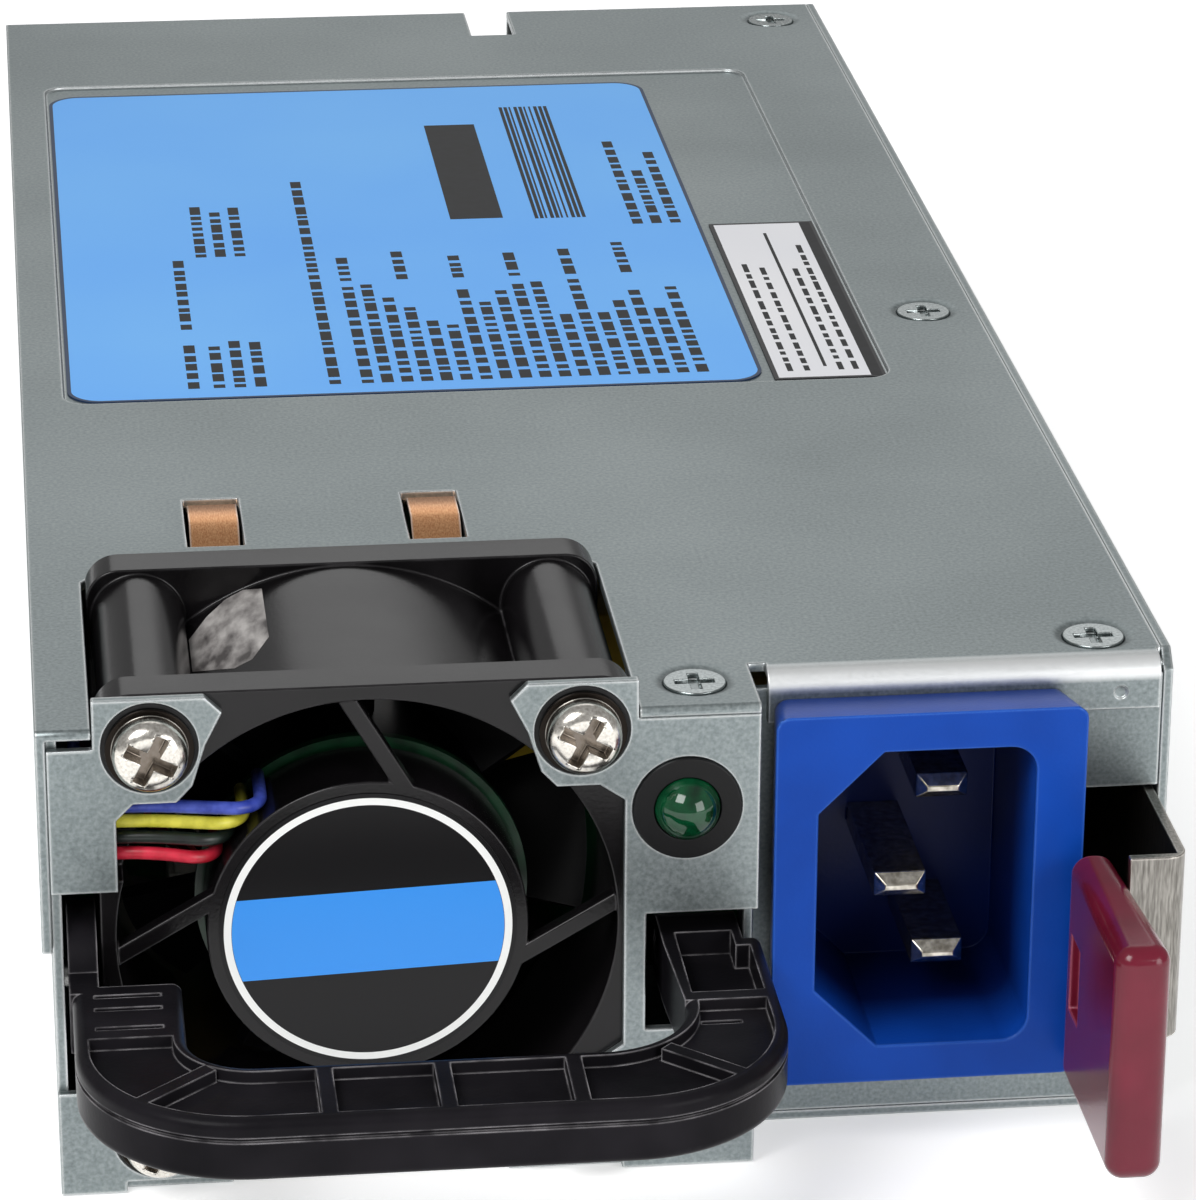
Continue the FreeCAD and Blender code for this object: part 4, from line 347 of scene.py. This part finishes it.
# ---------------------------------------------------------------- Fan hub label
# Printed polyester disc on the motor's seat: black, a white ring near its rim and a blue band
# across the middle. The band is bare.
def hub_print(centre):
    # Printed film: dielectric, roughness 0.3, with a ring and a band in flat colours.
    material, tree = new_finish("printed_polyester")
    place = add(tree, "ShaderNodeTexCoord").outputs["Object"]
    local = add(tree, "ShaderNodeVectorMath", {0: place, 1: centre}, operation="SUBTRACT").outputs["Vector"]
    flat = add(tree, "ShaderNodeVectorMath", {0: local, 1: (1, 0, 1)}, operation="MULTIPLY").outputs["Vector"]
    radius = add(tree, "ShaderNodeVectorMath", {0: flat}, operation="LENGTH").outputs["Value"]
    share = add(tree, "ShaderNodeMath", {0: radius, 1: label_radius}, operation="DIVIDE").outputs["Value"]
    ring = add(tree, "ShaderNodeValToRGB", {"Fac": share},
               stops=[(0.0, "#000000"), (ring_inner, "#FFFFFF"), (ring_outer, "#000000")])
    ring.color_ramp.interpolation = "CONSTANT"
    turned = add(tree, "ShaderNodeVectorRotate", {"Vector": flat, "Angle": math.radians(band_tilt)},
                 rotation_type="Y_AXIS").outputs["Vector"]
    height = add(tree, "ShaderNodeSeparateXYZ", {"Vector": turned}).outputs["Z"]
    lifted = add(tree, "ShaderNodeMath", {0: height, 1: -band_lift * MM}, operation="ADD").outputs["Value"]
    away = add(tree, "ShaderNodeMath", {0: lifted}, operation="ABSOLUTE").outputs["Value"]
    inside = add(tree, "ShaderNodeMath", {0: away, 1: band_half * MM}, operation="LESS_THAN").outputs["Value"]
    within = add(tree, "ShaderNodeMath", {0: share, 1: ring_inner}, operation="LESS_THAN").outputs["Value"]
    band = add(tree, "ShaderNodeMath", {0: inside, 1: within}, operation="MULTIPLY").outputs["Value"]
    ground = add(tree, "ShaderNodeMix", {"Factor": band, "A": hex_rgb("#0A090B"), "B": hex_rgb("#3F97F2")},
                 data_type="RGBA").outputs[2]
    colour = add(tree, "ShaderNodeMix", {
        "Factor": ring.outputs["Color"], "A": ground, "B": hex_rgb("#F6F7F5")}, data_type="RGBA").outputs[2]
    shader = add(tree, "ShaderNodeBsdfPrincipled", {
        "Base Color": colour, "Roughness": 0.3, "IOR": 1.5, "Specular IOR Level": 0.3})
    add(tree, "ShaderNodeOutputMaterial", {"Surface": shader.outputs[0]})
    return material


low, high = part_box("fan_label")
label_centre = (low + high) / 2
label_radius = (high.x - low.x) / 2
ring_inner = 0.915          # white ring, as shares of the label's radius
ring_outer = 0.968
band_tilt = 2.3             # degrees
band_lift = -0.1            # mm above the middle
band_half = 3.35            # mm
dress("fan_label", hub_print(label_centre))


# ---------------------------------------------------------------- Motor inside the fan
# Wound stator on a bronze sleeve bearing, a ring magnet in the wheel's cup, and the small drive
# board behind the seat.
def plain_finish(name, dark, light, roughness, size_mm, metallic=0.0):
    """Two-tone grain over one body colour, for pieces that are mostly out of sight."""
    material, tree = new_finish(name)
    blotch = grain(tree, size_mm)
    colour = add(tree, "ShaderNodeValToRGB", {"Fac": blotch},
                 stops=[(0.35, dark), (0.65, light)]).outputs["Color"]
    relief = add(tree, "ShaderNodeBump", {"Height": blotch, "Distance": 0.01 * MM}).outputs["Normal"]
    shader = add(tree, "ShaderNodeBsdfPrincipled", {
        "Base Color": colour, "Metallic": metallic, "Roughness": roughness, "Normal": relief})
    add(tree, "ShaderNodeOutputMaterial", {"Surface": shader.outputs[0]})
    return material


# Ground steel and sintered bronze shine, laminated iron and solder mask less, and ferrite and
# rubber are matt.
ground_steel = plain_finish("ground_steel", "#A9A9A8", "#CFCFCD", 0.25, 0.4, 1.0)
solder_mask = plain_finish("solder_mask", "#12472A", "#1C6A3C", 0.35, 1.5)
# The motor's board takes a darker copy of the solder mask: painted shade inside the fan.
dress("fan_motor_board", plain_finish("solder_mask_painted_shade", "#0A2616", "#123C24", 0.3, 1.5))
dress("fan_bearing", plain_finish("sintered_bronze", "#7A5A30", "#A88350", 0.45, 0.3, 1.0))
dress("fan_stator", plain_finish("laminated_iron", "#3A3A3C", "#66625C", 0.5, 0.4, 0.8))
dress("fan_magnet", plain_finish("ferrite_ring", "#232325", "#313134", 0.6, 0.5))
dress("fan_shaft", ground_steel)
dress("handle_pins", ground_steel)
dress("fan_grommets", plain_finish("black_rubber", "#101011", "#1D1D1E", 0.75, 0.6))


# ---------------------------------------------------------------- Fan leads and plug
# Four thin PVC-insulated wires, blue, yellow, black and red, laid from the motor's board round the
# fan to a white nylon plug. The mains side has three thicker ones.
def islands(node):
    """The separate solids of a CAD node, each as a mesh of its own."""
    source = bmesh.new()
    source.from_mesh(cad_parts[node].data)
    bmesh.ops.remove_doubles(source, verts=source.verts, dist=0.001 * MM)
    left = set(source.verts)
    made = []
    for start in source.verts:
        if start not in left:
            continue
        left.remove(start)
        group = {start}
        front = [start]
        while front:
            for edge in front.pop().link_edges:
                for vert in edge.verts:
                    if vert in left:
                        left.remove(vert)
                        group.add(vert)
                        front.append(vert)
        part = bmesh.new()
        twin = {v: part.verts.new(v.co) for v in source.verts if v in group}
        for face in source.faces:
            if face.verts[0] in group:
                part.faces.new([twin[v] for v in face.verts]).smooth = True
        mesh = bpy.data.meshes.new(node)
        part.to_mesh(mesh)
        part.free()
        made.append(mesh)
    source.free()
    return made


def lead_pieces(node, colours):
    """Each lead of a node as its own piece in its own colour, the one that rises highest first."""
    leads = sorted(islands(node), key=lambda mesh: -max(v.co.z for v in mesh.vertices))
    for mesh, (name, dark, light) in zip(leads, colours):
        piece = bpy.data.objects.new(node + "_" + name, mesh)
        bpy.context.scene.collection.objects.link(piece)
        # Soft PVC: dielectric, roughness about 0.35.
        mesh.materials.append(plain_finish(name + "_pvc", dark, light, 0.35, 1.2))
        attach(piece, "housing")
        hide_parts(node)


lead_pieces("fan_leads", [
    ("blue", "#2E3FA0", "#5062C8"), ("yellow", "#C6BF38", "#E8E052"),
    ("black", "#101312", "#1E2A24"), ("red", "#B01C2E", "#D82E46")])
lead_pieces("mains_leads", [
    ("brown", "#4A2E1C", "#6A432A"), ("neutral_blue", "#2A5CA8", "#3C74C4"),
    ("earth_green", "#3E7A2E", "#5AA044")])
white_nylon = plain_finish("white_nylon", "#D6D2C6", "#E8E5DB", 0.45, 2.0)
dress("fan_plug", white_nylon, 0.15)
dress("fan_header", white_nylon, 0.15)


# ---------------------------------------------------------------- Handle
# One glass-filled nylon moulding, satin black, with a ribbed dish in its upper face. It turns on
# two steel pins, and its edges carry a painted grey highlight.
dress("handle", moulded_black("black_nylon", ("#141316", "#242226"), "#9A979A", 0.3, 0.05, 0.35))


# ---------------------------------------------------------------- Latch strap and release tab
# A spring-steel strap riveted inside the right wall, with a dark red moulded tab pushed on its
# bent front end.
def moulded_colour(name, tone, deep, pale_highlight, roughness, gloss, inside=None):
    """Coloured thermoplastic, a little mottled, with a painted highlight along edges. The last argument, when
    given, tells where painted shade darkens it.
    """
    material, tree = new_finish(name)
    body = add(tree, "ShaderNodeValToRGB", {"Fac": grain(tree, 6.0)}, stops=[(0.3, deep), (0.7, tone)])
    # Painted highlight: edges mixed towards the pale tone.
    colour = add(tree, "ShaderNodeMix", {"Factor": edge_share(tree, 0.35), "A": body.outputs["Color"],
                                         "B": hex_rgb(pale_highlight)}, data_type="RGBA").outputs[2]
    # Painted shade: darker along Y over the given span.
    if inside:
        start, end, dark = inside
        colour = add(tree, "ShaderNodeMix", {"Factor": share_along(tree, "Y", start, end), "A": colour,
                                             "B": hex_rgb(dark)}, data_type="RGBA").outputs[2]
    skin = add(tree, "ShaderNodeBump", {
        "Height": grain(tree, 0.3, 2.0), "Distance": 0.01 * MM}).outputs["Normal"]
    shader = add(tree, "ShaderNodeBsdfPrincipled", {
        "Base Color": colour, "Roughness": roughness, "IOR": 1.5, "Specular IOR Level": gloss,
        "Normal": skin})
    add(tree, "ShaderNodeOutputMaterial", {"Surface": shader.outputs[0]})
    return material


# Hardened strip, bright-rolled: roughness 0.3.
dress("latch_strap", rolled_strip("spring_steel", "#6C6964", "#A19E98", 0.3, 0.5, (3, 3, 0.3)), 0.1)
dress("release_tab", moulded_colour("dark_red_nylon", "#761B31", "#641527", "#C86A84", 0.2, 0.4), 0.1)


# ---------------------------------------------------------------- Mains inlet
# Panel-mounted socket turned on its side, moulded in royal blue nylon, with three nickel-plated
# brass pins.
inlet_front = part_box("inlet_body")[0].y
# Painted shade darkens the moulding down in the socket and along its sides, where little light gets.
shaded = (inlet_front + 1.0 * MM, inlet_front + 8.0 * MM, "#05184E")
royal_blue = moulded_colour("royal_blue_nylon", "#1048AC", "#0D419F", "#4E7ED0", 0.3, 0.15, shaded)
dress("inlet_body", royal_blue, 0.15)
dress("inlet_pins", plain_finish("nickel_plated_brass", "#9C968A", "#D8D3C8", 0.25, 0.6, 1.0), 0.1)


# ---------------------------------------------------------------- Status light
# A 5 mm green epoxy dome pressed into a black moulded holder behind the front panel. It stands
# on a small board of its own.
def green_epoxy():
    # Tinted clear epoxy: IOR 1.54, polished.
    material, tree = new_finish("green_epoxy")
    colour = add(tree, "ShaderNodeValToRGB", {"Fac": grain(tree, 2.0, 2.0)},
                 stops=[(0.35, "#032C18"), (0.65, "#0B5833")]).outputs["Color"]
    shader = add(tree, "ShaderNodeBsdfPrincipled", {
        "Base Color": colour, "Roughness": 0.06, "IOR": 1.54, "Transmission Weight": 0.3})
    add(tree, "ShaderNodeOutputMaterial", {"Surface": shader.outputs[0]})
    return material


dress("led_lens", green_epoxy())
holder_black = moulded_black("black_nylon_holder", ("#060607", "#0F0F11"), "#2E2D2F", 0.35, 0.25, 0.3)
dress("led_holder", holder_black, 0.12)
dress("led_board", solder_mask)


# ---------------------------------------------------------------- Labels on the cover
# Two printed stickers in the pressed recess: a sky-blue one with a thin dark edge, and a white
# one framed in black. Rows of plain dashes stand where such labels are printed.
def framed_film(name, node, ground, frame_tone, corner_mm, line_mm):
    """Printed film with a dark line along its rounded edge."""
    material, tree = new_finish(name)
    low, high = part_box(node)
    centre = (low + high) / 2
    core = (high - low) / 2 - Vector((corner_mm, corner_mm, 0)) * MM
    place = add(tree, "ShaderNodeTexCoord").outputs["Object"]
    local = add(tree, "ShaderNodeVectorMath", {0: place, 1: centre}, operation="SUBTRACT").outputs["Vector"]
    away = add(tree, "ShaderNodeVectorMath", {0: local}, operation="ABSOLUTE").outputs["Vector"]
    past = add(tree, "ShaderNodeVectorMath", {0: away, 1: core}, operation="SUBTRACT").outputs["Vector"]
    kept = add(tree, "ShaderNodeVectorMath", {0: past, 1: (0, 0, 0)}, operation="MAXIMUM").outputs["Vector"]
    flat = add(tree, "ShaderNodeVectorMath", {0: kept, 1: (1, 1, 0)}, operation="MULTIPLY").outputs["Vector"]
    reach = add(tree, "ShaderNodeVectorMath", {0: flat}, operation="LENGTH").outputs["Value"]
    line = add(tree, "ShaderNodeMath", {0: reach, 1: (corner_mm - line_mm) * MM},
               operation="GREATER_THAN").outputs["Value"]
    cloud = grain(tree, 30.0, 2.0)
    body = add(tree, "ShaderNodeValToRGB", {"Fac": cloud}, stops=[(0.3, ground[0]), (0.7, ground[1])])
    colour = add(tree, "ShaderNodeMix", {
        "Factor": line, "A": body.outputs["Color"], "B": hex_rgb(frame_tone)}, data_type="RGBA").outputs[2]
    shader = add(tree, "ShaderNodeBsdfPrincipled", {
        "Base Color": colour, "Roughness": 0.4, "IOR": 1.5, "Specular IOR Level": 0.3})
    add(tree, "ShaderNodeOutputMaterial", {"Surface": shader.outputs[0]})
    return material


def printed(name, node, material, patches):
    """Ink on a label: a thin solid patch for each (x, y, width, depth) in mm from its near left corner."""
    low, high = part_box(node)
    ink = bmesh.new()
    for x, y, width, depth in patches:
        centre = Vector((low.x + (x + width / 2) * MM, low.y + (y + depth / 2) * MM,
                         high.z + ink_thick / 2 * MM))
        size = Vector((width, depth, ink_thick)) * MM
        for vert in bmesh.ops.create_cube(ink, size=1.0)["verts"]:
            vert.co = centre + Vector(a * b for a, b in zip(vert.co, size))
    mesh = bpy.data.meshes.new(name)
    ink.to_mesh(mesh)
    ink.free()
    mesh.materials.append(material)
    piece = bpy.data.objects.new(name, mesh)
    bpy.context.scene.collection.objects.link(piece)
    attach(piece, "housing")


def dash_rows(columns, width, near, shortest, longest, dashes=(0.7, 2.4), gaps=(0.4, 0.9)):
    """Columns of dashes that run away from the near edge, each column of its own length, in mm."""
    patches = []
    for x in columns:
        y = near
        end = near + random.uniform(shortest, longest)
        while y < end:
            length = random.uniform(*dashes)
            patches.append((x, y, width, length))
            y += length + random.uniform(*gaps)
    return patches


sky_blue = framed_film("sky_blue_film", "rating_label", ("#5FB0FF", "#6AB8FF"), "#1B3150", 3.0, 0.35)
dress("rating_label", sky_blue)
white = framed_film("white_paper_film", "serial_label", ("#E6E7EC", "#F0F0F2"), "#141518", 0.45, 0.4)
dress("serial_label", white)
ink_thick = 0.01            # mm
black_ink = plain_finish("black_ink", "#08090B", "#111317", 0.6, 1.0)
random.seed(11)
# Columns by their place, then width, nearest end, shortest and longest length, in mm.
row_pitch = 1.72
row_starts = [25.4 + row_pitch * i for i in range(18)]
rows = dash_rows([10.4, 12.6, 14.4, 16.2], 1.0, 2.6, 8.0, 14.0)
rows += dash_rows([10.4], 1.0, 18.0, 16.0, 18.0)
rows += dash_rows([12.6, 14.4, 16.2], 1.0, 38.0, 12.0, 16.0)
rows += dash_rows([22.6], 1.0, 2.6, 56.0, 60.0)
rows += dash_rows(row_starts, 1.05, 2.6, 14.0, 26.0)
rows += dash_rows(row_starts[::3], 1.05, 30.0, 4.0, 8.0)
rows += dash_rows([54.0, 55.8, 57.6], 1.0, 44.0, 12.0, 32.0)
rows += [(37.0, 47.0, 5.0, 30.0)]
rows += [(45.0 + 0.5 * i, 46.5, random.choice((0.18, 0.34)), 36.0) for i in range(10)]
printed("rating_print", "rating_label", black_ink, rows)
lines = [(8.5, 0.3, 1.0, 42.6), (4.7, 3.0, 0.3, 37.0)]
lines += dash_rows([1.4, 2.9, 5.9, 7.2], 0.5, 2.0, 26.0, 36.0)
printed("serial_print", "serial_label", black_ink, lines)


# ---------------------------------------------------------------- Board and what it carries
# Glass-epoxy board with its gold-plated edge, on brass posts over a polyester film. The mains
# filter, the transformers and the output stage are soldered to it, mostly out of sight.
dress("main_board", solder_mask)
dress("edge_contacts", plain_finish("gold_plate", "#C79A3E", "#E6C268", 0.25, 0.8, 1.0))
dress("insulation_sheet", plain_finish("polyester_film", "#17181A", "#232527", 0.5, 6.0))
dress("board_standoffs", plain_finish("bare_brass", "#A88C50", "#C8AE70", 0.3, 0.8, 1.0))
# Ferrite is matt, tape and moulded cases are satin, and wire, cans and heatsinks shine.
core_ferrite = plain_finish("ferrite_core", "#262628", "#353538", 0.6, 0.8)
enamelled_wire = plain_finish("enamelled_copper", "#A4562A", "#CE7E48", 0.3, 0.6, 0.9)
yellow_tape = plain_finish("yellow_polyester_tape", "#C9A52C", "#DEBC44", 0.4, 3.0)
dark_case = plain_finish("moulded_case_black", "#161618", "#242427", 0.45, 0.5)
bright_aluminium = plain_finish("extruded_aluminium", "#A6A8AA", "#C8CACC", 0.35, 0.8, 1.0)
dress("emi_choke_core", core_ferrite)
dress("emi_choke_winding", enamelled_wire)
dress("pfc_choke_core", core_ferrite)
dress("pfc_choke_winding", enamelled_wire)
dress("filter_capacitor", plain_finish("yellow_film_box", "#C7A43A", "#DDBC55", 0.4, 3.0), 0.2)
dress("safety_capacitors", plain_finish("blue_dipped_ceramic", "#23508E", "#3468AC", 0.35, 1.0), 0.4)
dress("input_fuse", plain_finish("fuse_ceramic", "#D8D4CA", "#E8E5DE", 0.4, 1.0), 0.1)
dress("inrush_relay", dark_case, 0.2)
dress("bridge_rectifier", dark_case, 0.2)
dress("power_transistors", dark_case, 0.1)
dress("capacitor_saddle", dark_case, 0.2)
dress("bulk_capacitor", plain_finish("black_shrink_sleeve", "#141418", "#232329", 0.3, 5.0), 0.3)
dress("primary_heatsink", bright_aluminium, 0.1)
dress("output_heatsink", bright_aluminium, 0.1)
dress("aux_transformer", yellow_tape, 0.2)
dress("transformer_coil", yellow_tape, 0.2)
dress("resonant_inductor", yellow_tape, 0.2)
dress("transformer_core", core_ferrite, 0.2)
dress("control_board", solder_mask)
dress("output_capacitors", plain_finish("drawn_can", "#ABADB0", "#CFD1D4", 0.3, 1.5, 1.0), 0.2)


# ---------------------------------------------------------------- Table, light and camera
# A white-painted table under three square soft lights, seen from the front, above and a little
# to the left. None of it is part of the supply.
half = 4.0
table_z = cad_box[0][2] - 0.1 * MM
table_mesh = bpy.data.meshes.new("table")
table_mesh.from_pydata([(-half, -half, table_z), (half, -half, table_z),
                        (half, half, table_z), (-half, half, table_z)], [], [(0, 1, 2, 3)])
table = bpy.data.objects.new("table", table_mesh)
bpy.context.scene.collection.objects.link(table)


def white_paint():
    # Matt white paint. Where it is looked at directly, in a reflection or through glass, it gives
    # a little light of its own, so the background stays white and keeps the shadow.
    material, tree = new_finish("table_white")
    surface = add(tree, "ShaderNodeBsdfDiffuse", {"Color": hex_rgb("#F4F4F4")}).outputs[0]
    lift = add(tree, "ShaderNodeEmission", {"Strength": 0.5}).outputs[0]
    lifted = add(tree, "ShaderNodeAddShader", {0: surface, 1: lift}).outputs[0]
    path = add(tree, "ShaderNodeLightPath")
    mirrored = add(tree, "ShaderNodeMath", {
        0: path.outputs["Is Glossy Ray"], 1: path.outputs["Is Transmission Ray"]},
        operation="MAXIMUM").outputs["Value"]
    seen = add(tree, "ShaderNodeMath", {0: mirrored, 1: path.outputs["Is Camera Ray"]},
               operation="MAXIMUM").outputs["Value"]
    shader = add(tree, "ShaderNodeMixShader", {0: seen, 1: surface, 2: lifted})
    add(tree, "ShaderNodeOutputMaterial", {"Surface": shader.outputs[0]})
    return material


table_mesh.materials.append(white_paint())

world = bpy.data.worlds.new("studio")
bpy.context.scene.world = world
world.use_nodes = True
world.node_tree.nodes.clear()
background = add(world.node_tree, "ShaderNodeBackground", {"Color": hex_rgb("#FFFFFF"), "Strength": 0.33})
add(world.node_tree, "ShaderNodeOutputWorld", {"Surface": background.outputs[0]})


def soft_light(name, place, aim, size, watts):
    """A square studio light aimed at a point."""
    lamp = bpy.data.lights.new(name, "AREA")
    lamp.size = size
    lamp.energy = watts
    light = bpy.data.objects.new(name, lamp)
    light.location = place
    light.rotation_euler = (Vector(aim) - Vector(place)).to_track_quat("-Z", "Y").to_euler()
    bpy.context.scene.collection.objects.link(light)


soft_light("key", (-0.45, -0.6, 0.75), (0, 0, 0.02), 0.5, 6.6)
soft_light("fill", (0.6, -0.8, 0.3), (0, -0.05, 0.02), 0.5, 3.6)
soft_light("back", (0.1, 0.9, 0.7), (0, 0, 0.02), 0.7, 1.3)

camera = bpy.data.cameras.new("camera")
camera.lens = 157.3
camera.sensor_width = 36.0
camera.clip_start = 0.05
viewer = bpy.data.objects.new("camera", camera)
viewer.location = Vector((-43.3, -446.6, 193.1)) * MM
viewer.rotation_euler = Euler([math.radians(a) for a in (67.69, -0.333, -6.578)])
bpy.context.scene.collection.objects.link(viewer)
bpy.context.scene.camera = viewer
bpy.context.scene.view_settings.view_transform = "Standard"
